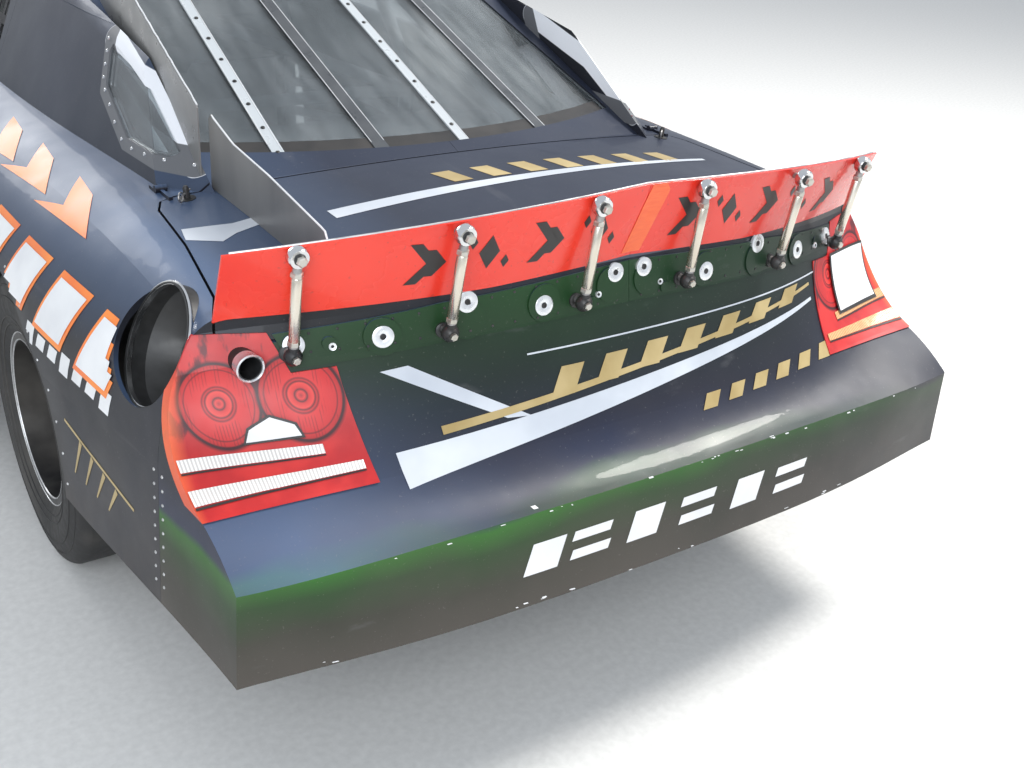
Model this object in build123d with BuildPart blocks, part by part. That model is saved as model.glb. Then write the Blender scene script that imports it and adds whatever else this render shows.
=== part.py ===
"""Stock car on its wheels: a hollow body of thin panels over a tube frame.

X points to the car's left, Y to its tail and Z up; the origin lies on the ground under the middle of the car.
All sizes are in millimetres.
"""

from build123d import *
from math import atan2, cos, hypot, radians, sin
import os

os.makedirs("parts", exist_ok=True)

# Overall layout
NOSE_Y = -2550.0
FRONT_AXLE_Y = -1453.0
REAR_AXLE_Y = 1341.0
WHEEL_X = 768.0
AXLE_Z = 350.0

# Wheels and tyres
TYRE_RADIUS = 350.0
TYRE_WIDTH = 285.0
TYRE_SHOULDER = 34.0
RIM_RADIUS = 195.0
RIM_WIDTH = 250.0
RIM_WALL = 6.0
BEAD_LIP = 12.0
HUB_RADIUS = 62.0
LUG_CIRCLE = 63.5
LUG_RADIUS = 11.0
LUG_LENGTH = 34.0
LUG_COUNT = 5
DISC_OFFSET = 30.0
DISC_THICKNESS = 10.0
HUB_DEPTH = 60.0
SPINDLE_REACH = 70.0
VENT_COUNT = 10
VENT_RADIUS = 17.0
VENT_CIRCLE = 128.0
SEAT_GAP = 0.3
MOVING_GAP = 5.0
PIN_GAP = 0.3

# Body shell
SKIN = 20.0
SEAM = 0.8
ARCH_RADIUS = 392.0
SKIRT_Z = 150.0
REAR_SKIRT_FRONT = (1690.0, 365.0)
REAR_SKIRT_END = (2560.0, 396.0)
NOSE_SKIRT_Z = 95.0
GLASS_INSET = 5.0
GLASS_THICKNESS = 5.0

# Steering and lids
KINGPIN_X = 640.0
STEER_ARM = 140.0
STEER_ARM_Z = 262.0
COLUMN_TILT = 18.0
HOOD_HINGE = (-735.0, 923.0)
HOOD_HINGE_X = 650.0
LID_HINGE = (1612.0, 953.0)
LID_HINGE_X = 655.0
HINGE_PIN = 4.0
HINGE_EYE = 8.0
HINGE_WIDTH = 8.0
HINGE_REACH = 34.0
HOOD_EYE_REACH = 60.0
LID_EYE_REACH = 60.0

# Cross-sections of the lower body, nose to tail. Columns: y; half width at the floor; widest point x, z;
# top of the side x, z; edge of the top x, z; height on the centre line.
BODY_STATIONS = [
    (-2640, 800, 770, 330, 720, 470, 660, 520, 545),
    (-2100, 925, 905, 500, 860, 660, 770, 708, 745),
    (-1453, 958, 945, 600, 890, 765, 790, 812, 855),
    (-700, 950, 925, 640, 800, 875, 730, 905, 945),
    (300, 950, 928, 640, 790, 905, 705, 938, 975),
    (1341, 960, 950, 600, 808, 905, 705, 942, 990),
    (2110, 922, 892, 640, 800, 886, 738, 918, 958),
    (2640, 880, 874, 585, 780, 870, 730, 898, 938),
]
# Cross-sections of the greenhouse. Columns: y; half width at its foot; roof rail x, z; centre height.
GREENHOUSE_FOOT_Z = 800.0
GREENHOUSE_STATIONS = [
    (-1000, 760, 560, 1205, 1232),
    (-130, 766, 562, 1246, 1276),
    (480, 766, 566, 1266, 1298),
    (1000, 752, 570, 1222, 1252),
    (1800, 690, 578, 1115, 1150),
]
RAIL_RADIUS = 55.0
GREENHOUSE_CUT_HALF = 820.0

# Windshield and rear glass: bowed planes that lean towards the roof.
WINDSHIELD_FOOT = (-860.0, 935.0)
WINDSHIELD_BOW = 1500.0
WINDSHIELD_RISE = (790.0, 345.0)
BACKLIGHT_FOOT = (1700.0, 985.0)
BACKLIGHT_BOW = 1300.0
BACKLIGHT_RISE = (-790.0, 272.0)
# The rear pillars stand beside the rear glass, which lies between their inner faces.
SAIL_X = 570.0
SAIL_REACH = 3500.0
SAIL_POINT = (631.5, 1572.5, 970.5)
SAIL_NORMAL = (0.606, 0.400, 0.6875)

# Window outlines. The bowed ones give the middle y and half width of their front and rear edges.
WINDSHIELD_EDGES = ((-815.0, 615.0), (-175.0, 500.0))
BACKLIGHT_EDGES = ((985.0, 490.0), (1662.0, 558.0))
GLASS_LOW_Z = 945.0
DOOR_WINDOW = ((-465.0, 990.0), (0.0, 1198.0), (395.0, 1198.0), (430.0, 990.0))
QUARTER_WINDOW = (
    (1625.0, 998.0), (1420.0, 1100.0), (1145.0, 1165.0), (1200.0, 1070.0), (1385.0, 998.0),
)
WINDOW_CORNER = 18.0

# Frame rails, each an outline seen from the side and its inner and outer x.
SIDE_RAIL = ([(-640, 165), (-640, 235), (760, 235), (760, 165)], 600.0, 700.0)
REAR_RAIL = (
    [(690, 165), (760, 165), (930, 520), (2150, 520), (2150, 590), (890, 590), (690, 235)], 480.0, 545.0,
)
FRONT_RAIL = (
    [(-630, 165), (-630, 235), (-860, 330), (-2120, 330), (-2120, 260), (-900, 260), (-700, 165)],
    290.0, 350.0,
)
TOWER = ([(-1600, 325), (-1560, 520), (-1340, 520), (-1300, 325)], 290.0, 350.0)
# Cross members. Columns: front y; rear y; low z; high z; half length.
CROSS_MEMBERS = [
    (-700, -630, 165, 235, 700), (690, 760, 165, 235, 700), (-1500, -1400, 190, 262, 350),
    (-2120, -2070, 262, 328, 350), (2100, 2150, 520, 590, 545), (960, 1020, 525, 585, 545),
]
TOW_EYE = (512.0, 2185.0, 555.0)
TOW_EYE_BORE = 14.0
TOW_EYE_PLATE = 12.0

# Mounts between the frame and the body shell, on the left. Columns: low corner; high corner.
BODY_MOUNTS = [
    ((695, -500, 180), (1000, -450, 220)), ((695, 200, 180), (1000, 250, 220)),
    ((345, -1010, 265), (1000, -970, 300)), ((290, -2700, 290), (350, -2113, 375)),
    ((300, 2140, 530), (350, 2700, 580)), ((540, 1790, 530), (1000, 1830, 570)),
]
ROOF_POST = (300.0, 330.0, 12.0)

# Roll cage tubes on the left, mirrored to the right, and those across the car
CAGE_RADIUS = 22.0
JOINT_BALL = 1.12
CAGE_SIDE = [
    [(650, 330, 235.3), (650, 330, 860), (500, 330, 1205)],
    [(500, 330, 1205), (470, -60, 1190), (600, -560, 930), (650, -600, 800), (650, -600, 235.3)],
    [(500, 330, 1205), (505, 1250, 870), (512, 1400, 650), (512, 1400, 590.3)],
    [(650, -600, 800), (335, -1300, 600), (320, -1450, 570), (320, -1450, 520.3)],
]
# Door bars bulge outwards. Columns: height; x of their middle.
DOOR_BAR_RADIUS = 19.0
CROSS_BAR_RADIUS = 20.0
DOOR_BARS = [(360, 800), (480, 800), (600, 800), (690, 790)]
CAGE_ACROSS = [
    [(500, 330, 1205), (-500, 330, 1205)], [(470, -60, 1190), (-470, -60, 1190)],
    [(650, 330, 770), (-650, 330, 770)], [(650, -600, 800), (-650, -600, 800)],
    [(500, 330, 1205), (-650, 330, 770)],
]

# Sheets of the floor, firewall, rear bulkhead, tray and tunnel
SHEET = 6.0
FLOOR_Z = 203.0
FLOOR_HALF = 599.7
FIREWALL_Y = -629.7
FIREWALL_TOP = 985.0
BULKHEAD_Y = 680.0
BULKHEAD_TOP = 790.0
TRAY_END = (1505.0, 935.0)
TUNNEL_HALF = 150.0
TUNNEL_TOP = 480.0

# Engine, radiator, driveline, fuel cell and exhaust
ENGINE = ((-280, -1720, 262.3), (280, -1080, 720))
RADIATOR = ((-345, -2110, 330.3), (345, -2050, 620))
FUEL_CELL = ((-479.7, 1650, 380), (479.7, 2095, 640))
GEARBOX_RADIUS = 110.0
GEARBOX_END = -300.0
SHAFT_RADIUS = 40.0
AXLE_RADIUS = 45.0
AXLE_FLANGE = 62.0
DIFF_RADIUS = 130.0
DIFF_HALF = 110.0
PIPE_LOW = 100.0
PIPE_HIGH = 148.0
PIPE_WIDTH = 120.0
PIPE_X = 150.0
PIPE_FRONT = -1250.0
PIPE_END_X = -930.0
PIPE_EXITS = (250.0, 410.0)

# Front uprights and suspension links
UPRIGHT = ((600.0, -45.0, -100.0), (700.0, 45.0, 100.0))
SPINDLE_RADIUS = 25.0
BALL_RADIUS = 22.0
KINGPIN_STUD = 9.0
KINGPIN_DEPTH = 25.0
ARM_RADIUS = 14.0
ARM_HEIGHT = 24.0
ARM_SPREAD = 60.0
ARM_TIP = 14.0
SPRING_X = 450.0
REAR_SPRING_X = 512.0
TRAILING_X = 420.0
SPRING_RADIUS = 42.0

# Seat, dash and steering wheel
SEAT_X = 388.0
SEAT_HALF = 210.0
STEERING_WHEEL_AT = (388.0, -230.0, 760.0)
WHEEL_RING = 165.0
WHEEL_GRIP = 13.0
COLUMN_RADIUS = 12.0
DASH_LINE = [(-440, 868), (-405, 745)]
DASH_HALF = 560.0
SEAT_SHELL = [(-60, 300), (330, 270), (470, 860), (464, 862), (322, 278), (-60, 308)]
SEAT_SIDE = [(-60, 300), (330, 270), (470, 860), (390, 860), (290, 430), (-60, 400)]
SEAT_WALL = 6.0
SEAT_FEET = (-20.0, 240.0)
NET_THICKNESS = 3.0
NET_RIBBON = 22.0
NET_ROWS = [1000.0, 1062.0, 1124.0, 1186.0]
NET_COLUMNS = 7
NET_FRONT = -30.0
NET_REAR = 380.0
GRILLE_INSET = 8.0
GRILLE_THICKNESS = 4.0
GRILLE_PITCH = 44.0
GRILLE_BAR = 7.0

# Seams. The lid's side runs from its front corner to the tail; a hood row is half width, side y, middle y.
LID_FRONT_Y = 1706.0
LID_SIDE = [
    (640.0, 1656.0), (674.0, 1664.0), (692.0, 1705.0), (708.0, 1890.0), (742.0, 2110.0), (772.0, 2180.0),
]
LID_LOW_Z = 868.0
HOOD_REAR = (690.0, -735.0, -905.0)
HOOD_FRONT = (735.0, -2120.0, -2235.0)
HOOD_LOW_Z = 560.0
SIDE_SPLIT_X = 0.4
NOSE_SEAM_Y = -1975.0
DOOR_FRONT_Y = -640.0
DOOR_REAR_Y = 460.0
TAIL_SEAM_Y = 2184.0
BELT_Z = 962.0
ROOF_SEAM_Z = 1188.0
COWL_X = 690.0
COWL_REAR_Y = -560.0
# Slots in the nose. Columns: low z; high z; half width.
NOSE_SLOTS = [(160.0, 320.0, 520.0), (385.0, 455.0, 430.0)]
NOSE_SLOT_CORNER = 25.0

# Glass, strips and fins
GLASS_GAP = 0.4
STRAP_THICKNESS = 3.0
# Strips on the rear glass. Columns: x at the foot; x at the head; width.
WINDOW_STRIPS = [(395.0, 352.0, 26.0), (164.0, 158.0, 34.0), (-44.0, -50.0, 26.0), (-280.0, -264.0, 34.0)]
FIN_THICKNESS = 3.0
WINDOW_FIN_FOOT = (578.0, 1640.0)
WINDOW_FIN_HEAD = (540.0, 900.0)
WINDOW_FIN_PROFILE = [
    (0.0, 940.0), (0.0, 1118.0), (400.0, 1256.0), (640.0, 1325.0), (735.0, 1310.0), (735.0, 940.0),
]
DECK_FIN_FOOT = (563.0, 1660.0)
DECK_FIN_HEAD = (552.0, 2235.0)
DECK_FIN_PROFILE = [
    (0.0, 940.0), (0.0, 1100.0), (10.0, 1109.0), (115.0, 1077.0), (272.0, 1059.0), (492.0, 1023.0),
    (573.0, 905.0),
]

# Lamps and the spoiler on the tail
LAMP_THICKNESS = 2.0
LAMP_GAP = 0.6
LAMP_REACH = 540.0
LAMP_WRAP = 20.0
LAMP_OUTLINE = [
    (566.0, 645.0), (590.0, 822.0), (664.0, 815.0), (692.0, 882.0), (1000.0, 882.0), (1000.0, 640.0),
]
PLATE_THICKNESS = 3.0
BASE_OUTLINE = [(0.6, 858.0), (0.6, 938.0), (400.0, 917.0), (684.0, 880.0), (660.0, 822.0), (400.0, 846.0)]
WASHER_THICKNESS = 3.0
# Washers on the spoiler base. Columns: x; z; radius.
WASHERS = [
    (655.0, 862.0, 17.0), (510.0, 868.0, 33.0), (356.0, 881.0, 35.0), (198.0, 889.0, 35.0),
    (45.0, 899.0, 34.0), (598.0, 862.0, 12.0), (90.0, 872.0, 11.0),
]
BLADE_THICKNESS = 4.0
# The blade's front face. Columns: x; foot y, z; head y, z.
BLADE_PROFILES = [
    (0.6, 2315.0, 950.5, 2352.0, 1098.0), (400.0, 2295.0, 928.0, 2336.0, 1078.0),
    (774.0, 2166.0, 877.0, 2234.0, 1042.0),
]
# Struts behind the blade. Columns: foot x, y, z; head x, y, z.
STRUTS = [
    (666.0, 2258.0, 852.0, 668.0, 2288.0, 1040.0), (403.0, 2330.0, 872.0, 401.0, 2362.0, 1062.0),
    (128.0, 2352.0, 886.0, 125.0, 2374.0, 1078.0),
]
STRUT_RADIUS = 8.0
STRUT_FOOT_STUD = 60.0
STRUT_HEAD_STUD = 40.0
STRUT_BALL = 13.0

# Fuel filler and vent on the left
FILLER_CENTRE = (828.0, 2060.0, 825.0)
FILLER_TILT = 25.0
FILLER_RADIUS = 112.0
FILLER_DEPTH = 118.0
FILLER_THROAT = 60.0
FILLER_COLLAR = 34.0
FILLER_WALL = 3.0
FILLER_CUT = 120.0
VENT_TUBE = (735.0, 2235.0, 838.0)
VENT_TUBE_RADIUS = 22.5
VENT_TUBE_LENGTH = 60.0
COUPLING_RADIUS = 30.0
COUPLING_BORE = 22.0
COUPLING_LENGTH = 55.0

# Nose face in plan: its bowed middle ends at the corner, which turns to the side.
NOSE_CORNER = (640.0, -2455.0)
NOSE_SIDE_X = 925.0
NOSE_SIDE_Y = -2110.0
NOSE_LEAN = 0.1

# Tail profiles across the car. Columns: x; then y, z of the tail's top, of the foot of its upright lip,
# of the low fascia, of the bumper's crease and of its lower edge.
TAIL_PROFILES = [
    (0, 2313, 949, 2328, 860, 2412, 650, 2510, 575, 2541, 380),
    (400, 2294, 925, 2305, 850, 2394, 648, 2505, 575, 2533, 380),
    (690, 2205, 894, 2225, 835, 2362, 645, 2496, 575, 2503, 380),
    (1000, 2192, 850, 2190, 790, 2334, 640, 2440, 572, 2472, 380),
]


def body_volume(inset, floor_z, overrun):
    """The lower body's form, moved inwards by inset, from floor_z up and overrun past both ends."""
    with BuildPart() as volume:
        for index, station in enumerate(BODY_STATIONS):
            y, foot_x, waist_x, waist_z, side_x, side_z, edge_x, edge_z, crown_z = station
            y += {0: -overrun, len(BODY_STATIONS) - 1: overrun}.get(index, 0)
            with BuildSketch(Plane.XZ.offset(-y)):
                with BuildLine():
                    edge = (edge_x - 0.6 * inset, edge_z - inset)
                    side = (side_x - 0.8 * inset, side_z - 0.6 * inset)
                    crown = TangentArc((0, crown_z - inset), edge, tangent=(1, 0))
                    shoulder = TangentArc(edge, side, tangent=crown % 1)
                    flank = TangentArc(side, (waist_x - inset, waist_z), tangent=shoulder % 1)
                    Line(flank @ 1, (foot_x - inset, floor_z))
                    mirror(about=Plane.YZ)
                    Line((foot_x - inset, floor_z), (-foot_x + inset, floor_z))
                make_face()
        loft(clean=False)
    return volume.part


def greenhouse_volume(inset):
    """The cabin's upper form, moved inwards by inset, between its two leaning glass planes."""
    with BuildPart() as volume:
        for y, foot_x, rail_x, rail_z, crown_z in GREENHOUSE_STATIONS:
            with BuildSketch(Plane.XZ.offset(-y)):
                with BuildLine():
                    foot = (foot_x - inset, GREENHOUSE_FOOT_Z)
                    lean = atan2(foot_x - rail_x, rail_z - GREENHOUSE_FOOT_Z)
                    low = (rail_x - inset + RAIL_RADIUS * sin(lean), rail_z - RAIL_RADIUS * cos(lean))
                    crown_end = (rail_x - RAIL_RADIUS, rail_z - inset + 8)
                    crown = TangentArc((0, crown_z - inset), crown_end, tangent=(1, 0))
                    TangentArc(crown @ 1, low, tangent=crown % 1)
                    Line(low, foot)
                    mirror(about=Plane.YZ)
                    Line(foot, (-foot[0], foot[1]))
                make_face()
        loft(clean=False)
        for (foot_y, foot_z), bow, (run, rise) in (
            (WINDSHIELD_FOOT, WINDSHIELD_BOW, WINDSHIELD_RISE),
            (BACKLIGHT_FOOT, BACKLIGHT_BOW, BACKLIGHT_RISE),
        ):
            front = -1 if run > 0 else 1
            slope = rise / abs(run)
            edge_y = foot_y - front * inset * hypot(1, slope) / slope
            low_z = GREENHOUSE_FOOT_Z - 50
            low_y = edge_y + front * (foot_z - low_z) / slope
            radius = bow - inset
            half = GREENHOUSE_CUT_HALF
            far_y = low_y - front * 4200
            reach = half if front < 0 else SAIL_X + inset
            side_y = low_y - front * (radius - (radius**2 - reach**2) ** 0.5)
            end_y = side_y if front < 0 else SAIL_REACH
            with BuildSketch(Plane.XY.offset(low_z)):
                with BuildLine():
                    ThreePointArc((-reach, side_y), (0, low_y), (reach, side_y))
                    if front > 0:
                        Line((reach, side_y), (reach, end_y))
                        Line((reach, end_y), (half, end_y))
                        Line((-reach, side_y), (-reach, end_y))
                        Line((-reach, end_y), (-half, end_y))
                    Polyline((half, end_y), (half, far_y), (-half, far_y), (-half, end_y))
                make_face()
            along = (0, -front / slope, 1)
            extrude(amount=600 * hypot(1, 1 / slope), dir=along, mode=Mode.INTERSECT, clean=False)
        for side in (1, -1):
            outward = Vector(side * SAIL_NORMAL[0], SAIL_NORMAL[1], SAIL_NORMAL[2])
            foot = Vector(side * SAIL_POINT[0], SAIL_POINT[1], SAIL_POINT[2])
            with BuildSketch(Plane(origin=foot - outward * inset, z_dir=outward)):
                Rectangle(1400, 1400)
            extrude(amount=300, mode=Mode.SUBTRACT, clean=False)
    return volume.part


def tail_volume(inset):
    """All that lies ahead of the tail's face, moved forwards by inset."""
    with BuildPart() as volume:
        rows = [(-row[0], *row[1:]) for row in reversed(TAIL_PROFILES[1:])] + TAIL_PROFILES
        for x, top_y, top_z, foot_y, foot_z, low_y, low_z, crease_y, crease_z, end_y, end_z in rows:
            drop = inset * 0.9
            with BuildSketch(Plane.YZ.offset(x)):
                with BuildLine():
                    crease = (crease_y - inset, crease_z - drop)
                    low = (low_y - drop, low_z - drop)
                    foot = (foot_y - inset, foot_z)
                    Polyline((top_y - inset - 20, 1500), (top_y - inset, top_z), foot)
                    face = TangentArc(foot, low, tangent=(0.28, -1))
                    TangentArc(low, crease, tangent=face % 1)
                    Polyline(crease, (end_y - inset, end_z), (end_y - inset + 4, -60), (1900, -60))
                    Polyline((1900, -60), (1900, 1500), (top_y - inset - 20, 1500))
                make_face()
        loft(clean=False)
        with BuildSketch(Plane.XY.offset(-60)):
            with Locations((0, -500)):
                Rectangle(2000, 4800)
        extrude(amount=1560, clean=False)
    return volume.part


def nose_volume(inset):
    """All that lies behind the nose's bowed face, moved backwards by inset."""
    corner_x, corner_y = NOSE_CORNER
    with BuildPart() as volume:
        with BuildSketch(Plane.XY.offset(-60)):
            with BuildLine():
                face = ThreePointArc(
                    (-corner_x, corner_y + inset), (0, NOSE_Y + inset), (corner_x, corner_y + inset)
                )
                turn = TangentArc(face @ 1, (NOSE_SIDE_X - inset, NOSE_SIDE_Y), tangent=face % 1)
                Polyline(turn @ 1, (1100, -1500), (1100, 2700), (-1100, 2700))
                Polyline((-1100, 2700), (-1100, -1500), (-turn.position_at(1).X, NOSE_SIDE_Y))
                TangentArc(face @ 0, (-NOSE_SIDE_X + inset, NOSE_SIDE_Y), tangent=-(face % 0))
            make_face()
        extrude(amount=1700, dir=(0, NOSE_LEAN, 1), clean=False)
    return volume.part


def whole_volume(inset, floor_z, overrun):
    """Lower body and greenhouse together, moved inwards by inset."""
    with BuildPart() as form:
        add(body_volume(inset, floor_z, overrun))
        add(greenhouse_volume(inset), clean=False)
        add(tail_volume(inset), mode=Mode.INTERSECT, clean=False)
        add(nose_volume(inset), mode=Mode.INTERSECT, clean=False)
    return form.part


def bowed_outline(front, rear, bow, facing):
    """Closed plan outline between two bowed edges, each given as its middle y and half width."""
    ends = []
    for middle_y, half in (front, rear):
        ends.append((half, middle_y - facing * (bow - (bow**2 - half**2) ** 0.5)))
    (front_x, front_y), (rear_x, rear_y) = ends
    with BuildLine() as outline:
        ThreePointArc((-front_x, front_y), (0, front[0]), (front_x, front_y))
        Line((front_x, front_y), (rear_x, rear_y))
        ThreePointArc((rear_x, rear_y), (0, rear[0]), (-rear_x, rear_y))
        Line((-rear_x, rear_y), (-front_x, front_y))
    return outline.line


# Openings in the shell
outer_form = whole_volume(0, 60, 0)
inner_form = whole_volume(SKIN, 0, 60)
windshield_outline = bowed_outline(*WINDSHIELD_EDGES, WINDSHIELD_BOW, -1)
backlight_outline = bowed_outline(*BACKLIGHT_EDGES, BACKLIGHT_BOW, 1)
with BuildPart() as shell:
    add(outer_form)
    add(inner_form, mode=Mode.SUBTRACT, clean=False)
    for outline in (windshield_outline, backlight_outline):
        with BuildSketch(Plane.XY.offset(GLASS_LOW_Z)):
            add(outline)
            make_face()
        extrude(amount=400, mode=Mode.SUBTRACT, clean=False)
    for side in (1, -1):
        for corners, near_x in ((DOOR_WINDOW, 0), (QUARTER_WINDOW, SAIL_X + SKIN)):
            with BuildSketch(Plane.YZ.offset(side * near_x)):
                with BuildLine():
                    Polyline(*corners, close=True)
                make_face()
                fillet(vertices(), WINDOW_CORNER)
            extrude(amount=side * 1000, mode=Mode.SUBTRACT, clean=False)
    for axle_y in (FRONT_AXLE_Y, REAR_AXLE_Y):
        with BuildSketch(Plane.YZ):
            with Locations((axle_y, AXLE_Z)):
                Circle(ARCH_RADIUS)
            with Locations((axle_y, AXLE_Z - 200)):
                Rectangle(2 * ARCH_RADIUS, 400)
        extrude(amount=1000, both=True, mode=Mode.SUBTRACT, clean=False)
    with BuildSketch(Plane.YZ):
        with BuildLine():
            Polyline(
                (-2700, 0), (-2700, NOSE_SKIRT_Z), (FRONT_AXLE_Y - ARCH_RADIUS, NOSE_SKIRT_Z + 15),
                (FRONT_AXLE_Y + ARCH_RADIUS, SKIRT_Z), (REAR_AXLE_Y - ARCH_RADIUS, SKIRT_Z),
                REAR_SKIRT_FRONT, REAR_SKIRT_END, (2700, 0), close=True,
            )
        make_face()
    extrude(amount=1000, both=True, mode=Mode.SUBTRACT, clean=False)

# Seams in plan and side view
def lid_region(grow):
    """Prism over the deck lid's outline, grown by grow on every side."""
    front_x, front_y = LID_SIDE[0][0] + grow, LID_SIDE[0][1] - grow
    side = [(front_x, front_y)] + [(x + grow, y) for x, y in LID_SIDE[1:]]
    with BuildPart() as region:
        with BuildSketch(Plane.XY.offset(LID_LOW_Z - grow)):
            with BuildLine():
                ThreePointArc((-front_x, front_y), (0, LID_FRONT_Y - grow), (front_x, front_y))
                other_side = [(-x, y) for x, y in reversed(side)]
                Polyline(*side, (side[-1][0], 2420), (-side[-1][0], 2420), *other_side)
            make_face()
        extrude(amount=500, clean=False)
    return region.part


def hood_region(grow):
    """Prism over the hood's outline, grown by grow on every side."""
    rear_x, rear_y, rear_middle = HOOD_REAR[0] + grow, HOOD_REAR[1] + grow, HOOD_REAR[2] + grow
    front_x, front_y, front_middle = HOOD_FRONT[0] + grow, HOOD_FRONT[1] - grow, HOOD_FRONT[2] - grow
    with BuildPart() as region:
        with BuildSketch(Plane.XY.offset(HOOD_LOW_Z - grow)):
            with BuildLine():
                ThreePointArc((-rear_x, rear_y), (0, rear_middle), (rear_x, rear_y))
                Line((rear_x, rear_y), (front_x, front_y))
                ThreePointArc((front_x, front_y), (0, front_middle), (-front_x, front_y))
                Line((-front_x, front_y), (-rear_x, rear_y))
            make_face()
        extrude(amount=900, clean=False)
    return region.part


def side_panel(corners, side):
    """The shell's part on one side of the car within an outline seen from that side."""
    with BuildPart() as piece:
        add(fixed_shell.part)
        with BuildSketch(Plane.YZ.offset(side * SIDE_SPLIT_X)):
            with BuildLine():
                Polyline(*corners, close=True)
            make_face()
        extrude(amount=side * 1100, mode=Mode.INTERSECT, clean=False)
    return piece.part


with BuildPart() as hood:
    add(shell.part)
    add(hood_region(-MOVING_GAP / 2), mode=Mode.INTERSECT, clean=False)
with BuildPart() as deck_lid:
    add(shell.part)
    add(lid_region(-MOVING_GAP / 2), mode=Mode.INTERSECT, clean=False)
with BuildPart() as fixed_shell:
    add(shell.part)
    add(hood_region(MOVING_GAP / 2), mode=Mode.SUBTRACT, clean=False)
    add(lid_region(MOVING_GAP / 2), mode=Mode.SUBTRACT, clean=False)
def box_between(low, high):
    """Box between two opposite corners."""
    with BuildPart() as block:
        with Locations([(Vector(*low) + Vector(*high)) * 0.5]):
            Box(*[b - a for a, b in zip(low, high)])
    return block.part


cowl_region = box_between((-COWL_X, -1100, 860), (COWL_X, COWL_REAR_Y, BELT_Z))
cowl_gap = box_between((-COWL_X - SEAM, -1100, 860), (COWL_X + SEAM, COWL_REAR_Y + SEAM, BELT_Z + SEAM))
filler_plane = Plane(origin=FILLER_CENTRE, z_dir=(cos(radians(FILLER_TILT)), 0, sin(radians(FILLER_TILT))))

NOSE_OUTLINE = [(-2700, 0), (-2700, BELT_Z), (NOSE_SEAM_Y - 80, BELT_Z), (NOSE_SEAM_Y, 400), (NOSE_SEAM_Y, 0)]
FENDER_OUTLINE = [
    (NOSE_SEAM_Y + SEAM, 0), (NOSE_SEAM_Y + SEAM, 400), (NOSE_SEAM_Y - 80 + SEAM, BELT_Z),
    (DOOR_FRONT_Y - SEAM, BELT_Z), (DOOR_FRONT_Y - SEAM, 0),
]
DOOR_OUTLINE = [(DOOR_FRONT_Y, 0), (DOOR_FRONT_Y, BELT_Z), (DOOR_REAR_Y, BELT_Z), (DOOR_REAR_Y, 0)]
ROOF_OUTLINE = [
    (-1100, BELT_Z + SEAM), (-1100, 1400), (1250, 1400), (1250, ROOF_SEAM_Z), (DOOR_REAR_Y, ROOF_SEAM_Z),
    (DOOR_REAR_Y, BELT_Z + SEAM),
]
QUARTER_OUTLINE = [
    (DOOR_REAR_Y + SEAM, 0), (DOOR_REAR_Y + SEAM, ROOF_SEAM_Z - SEAM), (1400, ROOF_SEAM_Z - SEAM),
    (TAIL_SEAM_Y, 1100), (TAIL_SEAM_Y, 0),
]
TAIL_OUTLINE = [(TAIL_SEAM_Y + SEAM, 0), (TAIL_SEAM_Y + SEAM, 1100), (2700, 1100), (2700, 0)]


def across(corners):
    """Prism right across the car with an outline seen from its side."""
    with BuildPart() as prism:
        with BuildSketch(Plane.YZ):
            with BuildLine():
                Polyline(*corners, close=True)
            make_face()
        extrude(amount=1100, both=True, clean=False)
    return prism.part


with BuildPart() as nose_cover:
    add(fixed_shell.part)
    add(across(NOSE_OUTLINE), mode=Mode.INTERSECT, clean=False)
    for low_z, high_z, half in NOSE_SLOTS:
        with BuildSketch(Plane.XZ):
            with Locations((0, (low_z + high_z) / 2)):
                RectangleRounded(2 * half, high_z - low_z, NOSE_SLOT_CORNER)
        extrude(amount=2700, mode=Mode.SUBTRACT, clean=False)
with BuildPart() as tail_cover:
    add(fixed_shell.part)
    add(across(TAIL_OUTLINE), mode=Mode.INTERSECT, clean=False)
    with BuildSketch(Plane.XZ):
        with Locations((VENT_TUBE[0], VENT_TUBE[2])):
            Circle(VENT_TUBE_RADIUS + SEAT_GAP)
    extrude(amount=-2700, mode=Mode.SUBTRACT, clean=False)
with BuildPart() as roof_panel:
    add(fixed_shell.part)
    add(across(ROOF_OUTLINE), mode=Mode.INTERSECT, clean=False)
with BuildPart() as cowl_panel:
    add(fixed_shell.part)
    add(cowl_region, mode=Mode.INTERSECT, clean=False)
side_panels = {}
for side_name, side in (("left", 1), ("right", -1)):
    with BuildPart() as fender:
        add(side_panel(FENDER_OUTLINE, side))
        add(cowl_gap, mode=Mode.SUBTRACT, clean=False)
    side_panels[side_name + "_fender"] = fender.part
    with BuildPart() as door:
        add(side_panel(DOOR_OUTLINE, side))
        add(cowl_gap, mode=Mode.SUBTRACT, clean=False)
    side_panels[side_name + "_door"] = door.part
    with BuildPart() as quarter:
        add(side_panel(QUARTER_OUTLINE, side))
        if side > 0:
            with BuildSketch(Plane.XZ):
                with Locations((VENT_TUBE[0], VENT_TUBE[2])):
                    Circle(VENT_TUBE_RADIUS + SEAT_GAP)
            extrude(amount=-2700, mode=Mode.SUBTRACT, clean=False)
            with BuildSketch(filler_plane):
                Circle(FILLER_RADIUS + SEAT_GAP)
            extrude(amount=FILLER_CUT, both=True, mode=Mode.SUBTRACT, clean=False)
    side_panels[side_name + "_quarter"] = quarter.part


def skin_layer(form, outer_inset, thickness):
    """Layer of a form between outer_inset and outer_inset + thickness below its surface."""
    with BuildPart() as layer:
        add(form(outer_inset))
        add(form(outer_inset + thickness), mode=Mode.SUBTRACT, clean=False)
    return layer.part


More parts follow.
